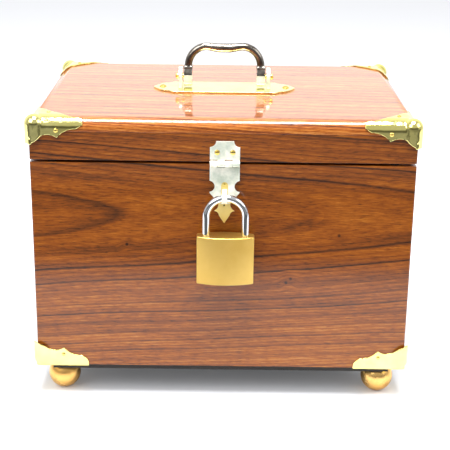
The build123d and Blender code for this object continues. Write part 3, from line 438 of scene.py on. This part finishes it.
def ring_lines(tree, share, rings, fibre):
    """How dark the growth lines are: a strong line ends each ring, each with a force of its own, and
    finer lines run between them away from the heart. Both break up along the fibre."""
    count = add(tree, "Math", {"operation": "FLOOR"}, {0: rings})
    mood = add(tree, "TexWhiteNoise", {"noise_dimensions": "1D"}, {"W": count})
    through = add(tree, "Math", {"operation": "FRACT"}, {0: rings})
    late = add(tree, "ValToRGB", inputs={"Fac": through}, stops=[
        (0.0, grey(0.3)), (0.1, grey(0.0)), (0.5, grey(0.1)), (0.86, grey(0.35)), (0.94, grey(1.0)),
        (1.0, grey(0.3))])
    finer = add(tree, "Math", {"operation": "MULTIPLY"}, {0: rings, 1: FINER_RINGS})
    through_finer = add(tree, "Math", {"operation": "FRACT"}, {0: finer})
    minor = add(tree, "ValToRGB", inputs={"Fac": through_finer}, stops=[
        (0.0, grey(0.2)), (0.3, grey(0.0)), (0.75, grey(0.5)), (0.92, grey(1.0)), (1.0, grey(0.2))])
    broken = add(tree, "Math", {"operation": "MULTIPLY"}, {0: fibre, 1: 1.8})
    far = add(tree, "Math", {"operation": "ABSOLUTE"}, {0: share})
    growing = add(tree, "Math", {"operation": "MULTIPLY_ADD"}, {0: far, 1: 1.1, 2: 0.12})
    away = add(tree, "Math", {"operation": "MINIMUM"}, {0: growing, 1: 1.0})
    force = add(tree, "Math", {"operation": "MULTIPLY_ADD"}, {0: mood, 1: 0.4, 2: 0.2})
    torn = add(tree, "Math", {"operation": "MULTIPLY"}, {0: force, 1: broken})
    strong = add(tree, "Math", {"operation": "MULTIPLY"}, {0: late, 1: torn})
    weak = add(tree, "Math", {"operation": "MULTIPLY"}, {0: minor, 1: away})
    weaker = add(tree, "Math", {"operation": "MULTIPLY"}, {0: weak, 1: broken})
    return add(tree, "Math", {"operation": "MULTIPLY_ADD"}, {0: weaker, 1: 0.3, 2: strong})


def wood_tone(tree, grain, fibre):
    """How pale the wood is at each point, from its darkest line to its palest streak."""
    share, rings, spots = growth(tree, grain)
    lines = ring_lines(tree, share, rings, fibre)
    # broad lights and darks that run a hand's breadth along the grain
    broad = add(tree, "Math", {"operation": "MULTIPLY_ADD"}, {
        0: streaks(tree, grain, 150, 9, 3.0, 0.6), 1: 0.6, 2: 0.42})
    fine = add(tree, "Math", {"operation": "MULTIPLY_ADD"}, {0: fibre, 1: 1.3, 2: -0.66})
    both = add(tree, "Math", {"operation": "ADD"}, {0: broad, 1: fine})
    lined = add(tree, "Math", {"operation": "SUBTRACT"}, {0: both, 1: lines})
    knotted = add(tree, "Math", {"operation": "SUBTRACT"}, {0: lined, 1: spots})
    # pores are a few tenths of a millimetre wide in walnut, but are drawn 0.6 mm wide so that they show
    pores = add(tree, "ValToRGB", inputs={"Fac": streaks(tree, grain, 5, 0.6, 2.0)}, stops=[
        (0.54, grey(0.0)), (0.68, grey(1.0))])
    pitted = add(tree, "Math", {"operation": "MULTIPLY_ADD"}, {0: pores, 1: -0.2, 2: knotted})
    # the wood well below the loops, on the lower part of the walls, is made paler
    below = add(tree, "MapRange", {"interpolation_type": "SMOOTHSTEP"}, {
        "Value": share, "From Min": -1.7, "From Max": -0.7, "To Min": 0.09, "To Max": 0.0})
    return add(tree, "Math", {"operation": "ADD"}, {0: pitted, 1: below})


def lacquered_walnut(name, turn, shift, wood):
    """Flat-sawn walnut under clear gloss lacquer, polished: long growth lines that close into pointed
    loops and part around small knots, fine fibre streaks and short dark pores, all under an even,
    mirror-like skin."""
    material, tree, shader = fresh(name)
    where = add(tree, "TexCoord")
    grain = add(tree, "Mapping", inputs={
        "Vector": where.outputs["Object"], "Location": shift, "Rotation": (0, 0, turn),
        "Scale": (1 / MM, 1 / MM, 1 / MM)})
    # fibre streaks, well under 1 mm apart
    fibre = streaks(tree, grain, 10, 0.6, 3.0, 0.75)
    colour = add(tree, "ValToRGB", inputs={"Fac": wood_tone(tree, grain, fibre)}, stops=[
        (place, tint(code)) for place, code in wood])
    ripple = add(tree, "Bump", inputs={
        "Height": streaks(tree, grain, 14, 5, 1.0), "Strength": 0.12, "Distance": 0.1 * MM})
    relief = add(tree, "Bump", inputs={"Height": fibre, "Strength": 0.3, "Distance": 0.05 * MM})
    tree.links.new(colour.outputs[0], shader.inputs["Base Color"])
    tree.links.new(relief.outputs[0], shader.inputs["Normal"])
    tree.links.new(ripple.outputs[0], shader.inputs["Coat Normal"])
    shader.inputs["Roughness"].default_value = 0.42
    shader.inputs["Specular IOR Level"].default_value = 0.1
    shader.inputs["Coat Weight"].default_value = 1.0
    shader.inputs["Coat Roughness"].default_value = 0.06
    shader.inputs["Coat IOR"].default_value = 1.44
    return material


# ---- metals and dull stuffs ----
def plated(name, pale, deep, roughness, metal=1.0, wave=0.0, wave_size=9.0, grit=0.0,
           grit_size=(0.4, 0.4, 0.4), patch=30.0):
    """A metal finish: its colour drifts between two tones over patches of some millimetres, its gloss
    varies with them, and it is waved by stamping or scratched by polishing."""
    material, tree, shader = fresh(name)
    where = add(tree, "TexCoord")
    real = add(tree, "Mapping", inputs={"Vector": where.outputs["Object"], "Scale": (1 / MM, 1 / MM, 1 / MM)})
    spread = add(tree, "TexNoise", inputs={
        "Vector": real, "Scale": 1 / patch, "Detail": 4.0, "Roughness": 0.6})
    colour = add(tree, "ValToRGB", inputs={"Fac": spread}, stops=[(0.35, tint(deep)), (0.65, tint(pale))])
    gloss = add(tree, "MapRange", inputs={
        "Value": spread, "From Min": 0.3, "From Max": 0.7,
        "To Min": roughness * 1.25, "To Max": roughness * 0.8})
    dents = add(tree, "TexNoise", inputs={"Vector": real, "Scale": 1 / wave_size, "Detail": 1.0})
    waves = add(tree, "Bump", inputs={"Height": dents, "Strength": 1.0, "Distance": wave * MM})
    fine_at = add(tree, "Mapping", inputs={"Vector": real, "Scale": tuple(1 / size for size in grit_size)})
    fine = add(tree, "TexNoise", inputs={"Vector": fine_at, "Scale": 1.0, "Detail": 2.0})
    scratches = add(tree, "Bump", inputs={
        "Height": fine, "Strength": 1.0, "Distance": grit * MM, "Normal": waves})
    tree.links.new(colour.outputs[0], shader.inputs["Base Color"])
    tree.links.new(gloss.outputs[0], shader.inputs["Roughness"])
    tree.links.new(scratches.outputs[0], shader.inputs["Normal"])
    shader.inputs["Metallic"].default_value = metal
    return material


def soft_stuff(name, pale, deep, sizes, roughness, bump):
    """A dull finish whose colour and surface are mottled at the sizes given in millimetres."""
    material, tree, shader = fresh(name)
    where = add(tree, "TexCoord")
    real = add(tree, "Mapping", inputs={
        "Vector": where.outputs["Object"], "Scale": tuple(1 / (size * MM) for size in sizes)})
    mottle = add(tree, "TexNoise", inputs={"Vector": real, "Scale": 1.0, "Detail": 4.0, "Roughness": 0.65})
    colour = add(tree, "ValToRGB", inputs={"Fac": mottle}, stops=[(0.35, tint(deep)), (0.65, tint(pale))])
    nap = add(tree, "Bump", inputs={"Height": mottle, "Strength": 0.6, "Distance": bump * MM})
    tree.links.new(colour.outputs[0], shader.inputs["Base Color"])
    tree.links.new(nap.outputs[0], shader.inputs["Normal"])
    shader.inputs["Roughness"].default_value = roughness
    return material


# the front and back with their loops, the board on top, and the sides with the grain turned to them
walnut_long = lacquered_walnut("lacquered_walnut_front", 0.0, (0, 0, 0), WALL_WOOD)
# the board on top takes the paler copy of the walnut: painted light on its upward face
walnut_top_painted_light = lacquered_walnut("lacquered_walnut_top_painted_light", 0.0, (0, 0, 0), TOP_WOOD_PAINTED_LIGHT)
walnut_side = lacquered_walnut("lacquered_walnut_side", -pi / 2, (30, 150, -12), WALL_WOOD)
# stamped sheet brass, buffed to a mirror: pale greenish yellow with slow waves from the press
polished_brass = plated("polished_brass", "F8EFA0", "ECDF84", 0.12, wave=0.26, wave_size=6.5)
# plate brass with a thin clear lacquer: paler and flatter
plate_brass = plated("brass_plate", "FAF2B0", "F1E49A", 0.16, wave=0.03, wave_size=12.0)
# turned brass, satin from fine emery, so its highlights are soft rings
satin_brass = plated("satin_brass", "F0C67C", "E2AE5E", 0.27, grit=0.004, grit_size=(3.0, 3.0, 0.25))
# cast brass case, brushed up and down with a fine belt: an even, dull gold
padlock_brass = plated("brushed_brass", "DAB766", "D2AD59", 0.42, grit=0.006, grit_size=(0.25, 0.25, 6.0))
# small drawn brass nails and screws: a bright yellow point each
nail_brass = plated("brass_nails", "F6DE86", "DDB858", 0.24, wave=0.02, wave_size=2.0)
# nickel plate on pressed steel, near white and with little metal so that it is pale from every side, in
# greenish-grey patches: painted reflection
nickel_painted_reflection = plated("nickel_with_painted_reflection", "FFFEF0", "BFC9B8", 0.34, metal=0.25, wave=0.08, wave_size=6.0, patch=11.0)
# the brass plate behind the staple: its own pale gold, given little metal and a satin gloss so that it is
# bright from every side, a painted sheen without reflections
gold_plate_painted_sheen = plated("pale_gold_plate_painted_sheen", "FBE594", "F3D679", 0.4, metal=0.3, grit=0.01, grit_size=(0.5, 0.5, 0.5))
# hard chrome on the padlock's bow: mirror bright and nearly neutral
chrome = plated("hard_chrome", "E8EAEC", "DCDEE2", 0.06, wave=0.01, wave_size=10.0)
# chrome on the handle, darker, in brown and grey patches: painted reflection of the dark surroundings in
# front
chrome_painted_dark_reflection = plated("chrome_with_painted_dark_reflection", "A8A198", "5A534C", 0.2, wave=0.08, wave_size=6.0, patch=8.0)
# bare drawn steel of the springs and studs: a flat mid grey
steel = plated("plain_steel", "B4B2AE", "8F8D8A", 0.35, grit=0.004)
# wool felt, black, with a short nap that takes no highlight
felt = soft_stuff("black_felt", "1B1A1C", "0B0A0C", (0.8, 0.8, 0.8), 0.95, 0.3)
# hardwood strips at the rim, nearly black with a faint sheen: the black is painted shade for the dark gap at
# the lid's seam
rim_strip_painted_shade = soft_stuff("rim_strip_black_painted_shade", "241B16", "120D0A", (30, 30, 1.2), 0.45, 0.05)
# the plywood board under the walls, near black: painted shade for the dark line of shadow under the front
# edge
underside_painted_shade = soft_stuff("board_black_painted_shade", "2A231D", "17120E", (40, 3, 3), 0.7, 0.05)


# ---- the wooden case ----
def box_side(name, side, z0, z1):
    """One side of a mitred frame: a full block with eased corners, sawn back to a single side."""
    out = {"front": (0, -1), "back": (0, 1), "left": (-1, 0), "right": (1, 0)}[side]
    face = Vector((out[0], out[1], 0))
    along = Vector((-out[1], out[0], 0))
    obj = block(name, LEFT, RIGHT, FRONT, BACK, z0, z1)
    round_edges(obj, lambda a, b: abs(a.z - b.z) > MM, UPRIGHT_EASE, 4)
    round_edges(obj, lambda a, b: abs(a.z - b.z) < MM / 10, RIM_EASE, 2)
    half = Vector((RIGHT, BACK - MIDDLE_Y, 0))
    middle = Vector((0, MIDDLE_Y, 0))
    out_point = middle + Vector((face.x * half.x, face.y * half.y, 0))
    reach = abs(along.x) * half.x + abs(along.y) * half.y
    saw(obj, out_point - face * WALL, -face)
    saw(obj, out_point + along * reach, along - face)
    saw(obj, out_point - along * reach, -along - face)
    return smoothed(obj, 40)


def slot_tool():
    """A round-ended bar for cutting the slot through the back wall."""
    lo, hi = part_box("slot_plate")
    z = (lo.z + hi.z) / 2
    half = SLOT_HEIGHT / 2
    tool = block("slot_tool", -SLOT_LENGTH / 2, SLOT_LENGTH / 2, BACK - SLOT_CUT_IN, BACK + SLOT_CUT_OUT,
                 z - half, z + half)
    round_edges(tool, lambda a, b: abs(a.y - b.y) > MM, half * 0.98, 8)
    return tool


def make_case():
    """The four walls and the lid's four sides and top."""
    for side in ("front", "back", "left", "right"):
        wood = walnut_long if side in ("front", "back") else walnut_side
        wall = box_side(f"{side}_board", side, BODY_BASE, BODY_TOP)
        if side == "back":
            cut_out(wall, slot_tool())
        settle(wall, wood, "box", "lacquered_walnut", f"{side}_wall")
        rail = box_side(f"lid_{side}_board", side, LID_BASE, LID_SEAM)
        settle(rail, wood, "lid", "lacquered_walnut", f"lid_{side}_rail")
    top = block("lid_top_board", LEFT, RIGHT, FRONT, BACK, LID_SEAM, LID_TOP)
    round_edges(top, lambda a, b: min(a.z, b.z) > LID_TOP - MM, ROUNDOVER, 10)
    eased(top, EDGE_EASE, 3, 50)
    settle(top, walnut_top_painted_light, "lid", "lacquered_walnut", "lid_top_panel")


# ---- corner caps ----
def boss(place, radius):
    """A small raised bead pressed into a cap."""
    angles = (0.2, 0.7, 1.2, 1.57, 1.95, 2.45, 2.94)
    bead = turned("bead", [(radius * sin(a), -radius * cos(a)) for a in angles], 16)
    bead.data.transform(Matrix.Translation(place))
    return bead


def soften_tip(cap, tip):
    """Draws the sheet in softly around a corner, as the press leaves it."""
    group = cap.vertex_groups.new(name="corner")
    for point in cap.data.vertices:
        share = 1.5 - (point.co - tip).length / CAP_SOFT_REACH
        if share > 0:
            group.add([point.index], min(share, 1.0), "REPLACE")
    worked(cap, "SMOOTH", factor=0.5, iterations=45, vertex_group="corner")


def stamped_cap(node, name):
    """A pressed brass corner with its sharp sheet edges rolled soft."""
    cap = traced(node, name, flat=False)
    if node.startswith("lid"):
        tip = Vector((LEFT, FRONT, LID_TOP))
        beads = [boss(tip + Vector(place) * MM, radius * MM) for place, radius in BEADS]
        cap = joined(name, [cap] + beads)
    worked(cap, "REMESH", mode="VOXEL", voxel_size=CAP_MESH)
    worked(cap, "SMOOTH", factor=0.5, iterations=4)
    if node.startswith("lid"):
        soften_tip(cap, tip)
    return cap


def make_caps():
    """Four caps on the lid and four under the case, each set made from one master."""
    masters = {kind: stamped_cap(f"{kind}_front_left", f"{kind}_master") for kind in ("lid_cap", "base_cap")}
    for kind, body in (("lid_cap", "lid"), ("base_cap", "box")):
        for corner, sx, sy in CORNERS:
            cap = mirrored(masters[kind], f"{kind}_{corner}_stamped", sx, sy)
            settle(cap, polished_brass, body, "polished_brass", f"{kind}_{corner}")
        bpy.data.objects.remove(masters[kind])


# ---- nails, screws and feet ----
def domed(radius, height, shank, length):
    """The rings of a nail or screw with a domed head, from its point upwards."""
    ball = (radius * radius + height * height) / (2 * height)
    low = acos((ball - height) / ball)
    rings = [(shank * 0.3, -length), (shank, -length * 0.88), (shank, 0.0)]
    rings += [(radius * 0.97, 0.0), (radius, height * 0.12)]
    for k in range(1, 6):
        a = low * (1 - k / 5.2) * 0.97
        rings.append((ball * sin(a), height - ball * (1 - cos(a))))
    return rings


def fixings(name, master, places, material, body, slot, node):
    """Copies of one nail or screw at each of its places, kept as one piece."""
    parts = [copy_at(master, f"{name}_{k}", place) for k, place in enumerate(places)]
    return settle(joined(name, parts), material, body, slot, node)


def at(x, y, z, turn):
    """A place and the way that a head looks there."""
    return Matrix.Translation((x, y, z)) @ turn


def cap_nails(edge_z, inward, with_top):
    """The places of a set of four caps' nails."""
    places = []
    for _, sx, sy in CORNERS:
        x_edge, y_edge = sx * RIGHT, BACK if sy > 0 else FRONT
        z = edge_z + inward * CAP_PIN_IN
        to_y, to_x = TO_BACK if sy > 0 else TO_FRONT, TO_RIGHT if sx > 0 else TO_LEFT
        places.append(at(x_edge - sx * CAP_PIN_ALONG, y_edge + sy * SHEET, z, to_y))
        places.append(at(x_edge + sx * SHEET, y_edge - sy * CAP_PIN_ALONG, z, to_x))
        if with_top:
            x, y = x_edge - sx * CAP_PIN_DIAGONAL, y_edge - sy * CAP_PIN_DIAGONAL
            places.append(at(x, y, edge_z + SHEET, TO_UP))
    return places


def make_nails():
    """The nails of the caps, the slot's plate and the hasp."""
    nail = turned("nail", domed(NAIL_HEAD, NAIL_DOME, NAIL_SHANK, NAIL_LENGTH), 24)
    places = cap_nails(LID_TOP, -1, True)
    fixings("lid_cap_nails", nail, places, nail_brass, "lid", "brass_fixings", "lid_cap_pins")
    places = cap_nails(BODY_BASE, 1, False)
    fixings("base_cap_nails", nail, places, nail_brass, "box", "brass_fixings", "base_cap_pins")
    lo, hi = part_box("slot_plate")
    places = [at(sx * SLOT_PIN_X, hi.y, (lo.z + hi.z) / 2, TO_BACK) for sx in (-1, 1)]
    fixings("slot_plate_nails", nail, places, nail_brass, "box", "brass_fixings", "slot_plate_pins")
    bpy.data.objects.remove(nail)
    broad = turned("hasp_nail", domed(HASP_NAIL_HEAD, NAIL_DOME, NAIL_SHANK, NAIL_LENGTH), 28)
    apart, z = HASP_PIN_APART / 2, HINGE_Z + HASP_PIN_RISE
    places = [at(HASP_X + sx * apart, FRONT - SHEET, z, TO_FRONT) for sx in (-1, 1)]
    fixings("hasp_nails", broad, places, nail_brass, "lid", "brass_fixings", "hasp_pins")
    bpy.data.objects.remove(broad)


def slotted_screw():
    """A domed screw with the driver's slot cut across its head."""
    screw = turned("screw", domed(SCREW_HEAD, SCREW_DOME, SCREW_SHANK, SCREW_LENGTH), 32)
    reach, half = SCREW_HEAD * 1.2, DRIVER_SLOT / 2
    cut_out(screw, block("driver_slot", -reach, reach, -half, half, SCREW_DOME * 0.45, SCREW_DOME * 1.5))
    return smoothed(screw, 30)


def make_screws():
    """The screws of the handle's plate and of the hinges."""
    screw = slotted_screw()
    plate_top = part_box("handle_plate")[1].z
    places = [at(sx * PLATE_SCREW_X, MIDDLE_Y, plate_top, TO_UP) for sx in (-1, 1)]
    fixings("plate_screws", screw, places, nail_brass, "lid", "brass_fixings", "handle_plate_screws")
    for side, body, node in ((1, "lid", "hinge_lid_screws"), (-1, "box", "hinge_body_screws")):
        z = HINGE_Z + side * HINGE_SCREW_RISE
        across = [hinge * HINGE_X + sx * HINGE_SCREW_SPREAD for hinge in (-1, 1) for sx in (-1, 1)]
        places = [at(x, BACK + SHEET, z, TO_BACK) for x in across]
        fixings(f"{node}_slotted", screw, places, nail_brass, body, "brass_fixings", node)
    bpy.data.objects.remove(screw)


def make_feet():
    """Four turned ball feet with a short waist under the case."""
    rings = [(2.4 * MM, 0.0), (FOOT_FLAT, 0.05 * MM)]
    start, end = acos(-FOOT_CENTRE / FOOT_RADIUS) * 0.985, acos(FOOT_BALL_REACH / FOOT_RADIUS)
    for k in range(1, 25):
        a = start + (end - start) * k / 24
        rings.append((FOOT_RADIUS * sin(a), FOOT_CENTRE + FOOT_RADIUS * cos(a)))
    rings += [(FOOT_NECK, FOOT_NECK_BASE), (FOOT_NECK, FOOT_NECK_TOP)]
    rings += [(FOOT_COLLAR, FOOT_COLLAR_BASE), (FOOT_COLLAR, FOOT_TOP)]
    ball = turned("foot_master", rings, 64)
    for corner, sx, sy in CORNERS:
        y = (BACK if sy > 0 else FRONT) - sy * FOOT_INSET
        foot = copy_at(ball, f"foot_{corner}_turned", Matrix.Translation((sx * (RIGHT - FOOT_INSET), y, 0)))
        settle(foot, satin_brass, "box", "satin_brass", f"foot_{corner}")
    bpy.data.objects.remove(ball)


# ---- handle ----
def make_handle_mount():
    """The handle's plate, its two ears and the rivets that the bail turns on."""
    plate = eased(traced("handle_plate", "handle_plate_bevelled"), 0.45 * MM, 4)
    settle(plate, plate_brass, "lid", "polished_brass", "handle_plate")
    for side in ("left", "right"):
        ear = eased(traced(f"handle_ear_{side}", f"handle_ear_{side}_filed"), 0.4 * MM, 3)
        settle(ear, nickel_painted_reflection, "lid", "polished_brass", f"handle_ear_{side}")
    rings = [(PIVOT_SHANK, -PIVOT_DEEP), (PIVOT_SHANK, 0.0), (2.0 * MM, 0.0)]
    rings += [(PIVOT_HEAD, 0.3 * MM), (PIVOT_HEAD, PIVOT_HEAD_STEP)]
    for a in (0.3, 0.6, 0.9, 1.2, 1.5):
        rings.append((PIVOT_HEAD * cos(a), PIVOT_HEAD_STEP + PIVOT_HEAD_DOME * sin(a)))
    pivot = turned("pivot", rings, 28)
    places = [at(sx * EAR_OUTSIDE, MIDDLE_Y, PIVOT_Z, TO_RIGHT if sx > 0 else TO_LEFT) for sx in (-1, 1)]
    fixings("pivot_rivets", pivot, places, nail_brass, "lid", "brass_fixings", "bail_pivot_pins")
    bpy.data.objects.remove(pivot)


def forge(bail):
    """Rounds the bail's edges, swells its bar and presses the hollow for the hand, keeping its height."""
    worked(bail, "REMESH", mode="VOXEL", voxel_size=BAIL_MESH)
    worked(bail, "SMOOTH", factor=0.5, iterations=8)
    bar = bail.vertex_groups.new(name="bar")
    bar_start = PIVOT_Z + BAIL_BAR_START
    bar.add([v.index for v in bail.data.vertices if v.co.z > bar_start], 1.0, "REPLACE")
    worked(bail, "DISPLACE", strength=BAIL_SWELL, mid_level=0, vertex_group="bar")
    worked(bail, "SMOOTH", factor=0.5, iterations=3)
    edit(bail)
    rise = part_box("bail")[1].z - PIVOT_Z
    shrink = (rise - BAIL_SWELL) / rise
    bpy.ops.transform.resize(value=(1, 1, shrink), center_override=(0, 0, PIVOT_Z))
    bpy.ops.mesh.select_all(action="DESELECT")
    close()
    for point in bail.data.vertices:
        point.select = abs(point.co.x) < GRIP_HOLLOW_HALF and point.co.z > PIVOT_Z + GRIP_ABOVE_PIVOT
    bpy.ops.object.mode_set(mode="EDIT")
    bpy.ops.transform.translate(value=(0, 0, -GRIP_HOLLOW), use_proportional_edit=True,
                                proportional_edit_falloff="SMOOTH", proportional_size=GRIP_HOLLOW_REACH)
    close()
    bpy.ops.object.shade_smooth_by_angle(angle=radians(60))


def make_bail():
    """The forged bail: chrome with painted dark reflections, and its eyes at its two ends in the pale nickel
    as a painted highlight.
    """
    bail = traced("bail", "bail_forged", flat=False)
    forge(bail)
    settle(bail, chrome_painted_dark_reflection, "handle", "chrome", "bail")
    # the eyes below BAIL_EYE_TOP take the pale nickel: a painted highlight on them
    bail.data.materials.append(nickel_painted_reflection)
    for face in bail.data.polygons:
        face.material_index = int(face.center.z < PIVOT_Z + BAIL_EYE_TOP)


# ---- hinges, hasp and staple ----
def make_leaves():
    """The pressed leaves of the hinges and hasp, the staple and its plate, and the slot's plate."""
    sheets = [
        ("hasp_top_leaf", "hasp_upper_leaf", nickel_painted_reflection, "lid", "nickel_plate", 0.25),
        ("hasp_swing_leaf", "hasp_lower_leaf", nickel_painted_reflection, "hasp_leaf", "nickel_plate", 0.25),
        ("staple", "staple_strip", nickel_painted_reflection, "box", "nickel_plate", 0.2),
        ("staple_plate", "staple_leaf_plate", gold_plate_painted_sheen, "box", "brass_fixings", 0.25),
        ("slot_plate", "slot_plate_bevelled", plate_brass, "box", "polished_brass", 0.3),
    ]
    for side in ("left", "right"):
        upper, lower = f"hinge_upper_{side}", f"hinge_lower_{side}"
        sheets.append((f"hinge_lid_leaf_{side}", upper, plate_brass, "lid", "polished_brass", 0.25))
        sheets.append((f"hinge_body_leaf_{side}", lower, plate_brass, "box", "polished_brass", 0.25))
    for node, name, material, body, slot, ease in sheets:
        leaf = eased(traced(node, name), ease * MM, 2)
        settle(leaf, material, body, slot, node)


# ---- padlock ----
def make_lock_case():
    """The padlock's cast case: its top front edge well rounded and the others just eased."""
    lo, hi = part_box("lock_case")
    case = traced("lock_case", "padlock_body")
    front_edge = lo.y + (hi.y - lo.y) * 0.4

    def top_front(a, b):
        """Whether an edge runs across the top of the front."""
        return min(a.z, b.z) > hi.z - MM and max(a.y, b.y) < front_edge

    round_edges(case, top_front, LOCK_TOP_ROUND, 8)
    case = eased(case, LOCK_EDGE_ROUND, 3, 50)
    settle(case, padlock_brass, "padlock_case", "padlock_brass", "lock_case")


def make_bow():
    """The padlock's bow, bent from round bar: a long leg on the left and a short one on the right."""
    lo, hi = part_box("lock_case")
    low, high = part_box("shackle")
    mid_x, mid_y = (lo.x + hi.x) / 2, (lo.y + hi.y) / 2
    left, right = mid_x - LEG_X, mid_x + LEG_X
    crown = high.z - BOW_RADIUS
    bend_z, short_z = crown - LEG_X, hi.z - SHORT_LEG_DEEP
    straight, up, over = Vector((0, 0, MM)), Vector((0, 0, LEG_X * QUARTER)), Vector((LEG_X * QUARTER, 0, 0))
    run = []
    for x, z, lean in (
            (left, low.z, straight), (left, bend_z, up), (mid_x, crown, over), (right, bend_z, -up),
            (right, short_z, -straight)):
        knot = Vector((x, mid_y, z))
        run.append((knot, knot - lean, knot + lean))
    settle(tube("padlock_bow_bar", run, BOW_RADIUS, 14), chrome, "padlock_bow", "chrome", "shackle")


def dress_kept_nodes():
    """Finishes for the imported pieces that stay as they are."""
    finishes = {
        underside_painted_shade: ("floor_panel",),
        felt: ("floor_felt", "lid_bumpers"),
        rim_strip_painted_shade: ("rim_strips",),
        nickel_painted_reflection: ("hasp_hinge_pin",),
        padlock_brass: ("key_plug",),
        nail_brass: ("hinge_pin_left", "hinge_pin_right", "staple_nails", "key_pins", "driver_pins"),
        steel: ("foot_studs", "driver_springs", "shackle_spring", "retaining_pin", "latch"),
    }
    for material, nodes in finishes.items():
        for node in nodes:
            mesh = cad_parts[node].data
            mesh.materials.clear()
            mesh.materials.append(material)


make_case()
make_caps()
make_nails()
make_screws()
make_feet()
make_handle_mount()
make_bail()
make_leaves()
make_lock_case()
make_bow()
dress_kept_nodes()


# ---- studio ----
FLOOR_SIDE = 8.0
FLOOR_GLOW = 0.08
WORLD_LEVEL = 0.62
EYE_PLACE = (0.09 * MM, -808.05 * MM, 375.69 * MM)
EYE_TILT, EYE_TURN, EYE_ROLL = radians(19.033), radians(0.1217), radians(0.7611)
EYE_LENS, EYE_SENSOR = 91.30, 36.0


def make_floor():
    """A pale sweep, white to the eye. In the light that it throws back on to the box it is dark in a
    strip in front, and only a little lighter beyond that."""
    bpy.ops.object.select_all(action="DESELECT")
    bpy.ops.mesh.primitive_plane_add(size=FLOOR_SIDE, location=(0, 0, 0))
    floor = bpy.context.object
    floor.name = "studio_floor"
    material, tree, shader = fresh("pale_sweep")
    where = add(tree, "TexCoord")
    split = add(tree, "SeparateXYZ", inputs={"Vector": where.outputs["Object"]})
    near = add(tree, "MapRange", {"interpolation_type": "SMOOTHSTEP"}, {
        "Value": split.outputs["Y"], "From Min": -0.38, "From Max": -0.28, "To Min": 0.0, "To Max": 1.0})
    far = add(tree, "MapRange", {"interpolation_type": "SMOOTHSTEP"}, {
        "Value": split.outputs["Y"], "From Min": -0.66, "From Max": -0.56, "To Min": 0.16, "To Max": 0.0})
    pale = add(tree, "Math", {"operation": "MAXIMUM"}, {0: near, 1: far})
    path = add(tree, "LightPath")
    seen = add(tree, "Math", {"operation": "MAXIMUM"}, {0: pale, 1: path.outputs["Is Camera Ray"]})
    colour = add(tree, "ValToRGB", inputs={"Fac": seen}, stops=[
        (0.0, grey(0.05)), (1.0, (0.81, 0.82, 0.85, 1.0))])
    glow = add(tree, "Math", {"operation": "MULTIPLY"}, {0: path.outputs["Is Camera Ray"], 1: FLOOR_GLOW})
    tree.links.new(colour.outputs[0], shader.inputs["Base Color"])
    tree.links.new(glow.outputs[0], shader.inputs["Emission Strength"])
    shader.inputs["Roughness"].default_value = 0.9
    shader.inputs["Specular IOR Level"].default_value = 0.1
    shader.inputs["Emission Color"].default_value = (0.97, 0.98, 1.0, 1.0)
    floor.data.materials.append(material)


def make_world():
    """White all round to the eye; as light, bright behind and above and dark where the viewer stands."""
    world = bpy.data.worlds.new("studio")
    bpy.context.scene.world = world
    world.use_nodes = True
    tree = world.node_tree
    tree.nodes.clear()
    where = add(tree, "TexCoord")
    split = add(tree, "SeparateXYZ", inputs={"Vector": where.outputs["Generated"]})
    behind = add(tree, "MapRange", {"interpolation_type": "SMOOTHSTEP"}, {
        "Value": split.outputs["Y"], "From Min": -0.1, "From Max": 0.7, "To Min": 0.0, "To Max": 0.75})
    before = add(tree, "MapRange", {"interpolation_type": "SMOOTHSTEP"}, {
        "Value": split.outputs["Y"], "From Min": -0.8, "From Max": -0.4, "To Min": 0.5, "To Max": 0.0})
    low = add(tree, "MapRange", {"interpolation_type": "SMOOTHSTEP"}, {
        "Value": split.outputs["Z"], "From Min": 0.14, "From Max": 0.3, "To Min": 1.0, "To Max": 0.0})
    dark = add(tree, "Math", {"operation": "MULTIPLY"}, {0: before, 1: low})
    level = add(tree, "Math", {"operation": "ADD"}, {0: behind, 1: WORLD_LEVEL})
    light = add(tree, "Math", {"operation": "SUBTRACT"}, {0: level, 1: dark})
    path = add(tree, "LightPath")
    as_light = add(tree, "Background", inputs={"Color": (1.0, 1.0, 1.0, 1.0), "Strength": light})
    as_seen = add(tree, "Background", inputs={"Color": (1.0, 1.0, 1.0, 1.0), "Strength": 1.0})
    choice = add(tree, "MixShader", inputs={0: path.outputs["Is Camera Ray"], 1: as_light, 2: as_seen})
    add(tree, "OutputWorld", inputs={"Surface": choice})


def lamp(name, place, target, size, power):
    """A square softbox that looks at a point."""
    light = bpy.data.lights.new(name, "AREA")
    light.shape = "SQUARE"
    light.size = size
    light.energy = power
    obj = bpy.data.objects.new(name, light)
    bpy.context.scene.collection.objects.link(obj)
    obj.location = place
    obj.rotation_euler = (Vector(target) - Vector(place)).to_track_quat("-Z", "Y").to_euler()


def make_camera():
    """The eye, a little above the lid and square to the front."""
    level = Vector((sin(EYE_TURN), cos(EYE_TURN), 0))
    side = Vector((cos(EYE_TURN), -sin(EYE_TURN), 0))
    upward = Vector((0, 0, 1))
    ahead = level * cos(EYE_TILT) - upward * sin(EYE_TILT)
    head = upward * cos(EYE_TILT) + level * sin(EYE_TILT)
    right = side * cos(EYE_ROLL) + head * sin(EYE_ROLL)
    top = head * cos(EYE_ROLL) - side * sin(EYE_ROLL)
    lens = bpy.data.cameras.new("eye")
    lens.lens = EYE_LENS
    lens.sensor_width = EYE_SENSOR
    lens.clip_start = 0.01
    eye = bpy.data.objects.new("eye", lens)
    bpy.context.scene.collection.objects.link(eye)
    turned_to = Matrix((right, top, -ahead)).transposed().to_4x4()
    eye.matrix_world = Matrix.Translation(EYE_PLACE) @ turned_to
    bpy.context.scene.camera = eye


make_floor()
make_world()
lamp("overhead_softbox", (0.0, -0.30, 1.25), (0, 0, 0.1), 0.52, 25.0)
lamp("key_softbox", (-0.75, -0.80, 1.0), (0, 0, 0.1), 0.8, 8.0)
lamp("fill_softbox", (0.95, -0.45, 0.8), (0, 0, 0.1), 0.7, 4.0)
make_camera()
bpy.context.scene.view_settings.view_transform = "Standard"
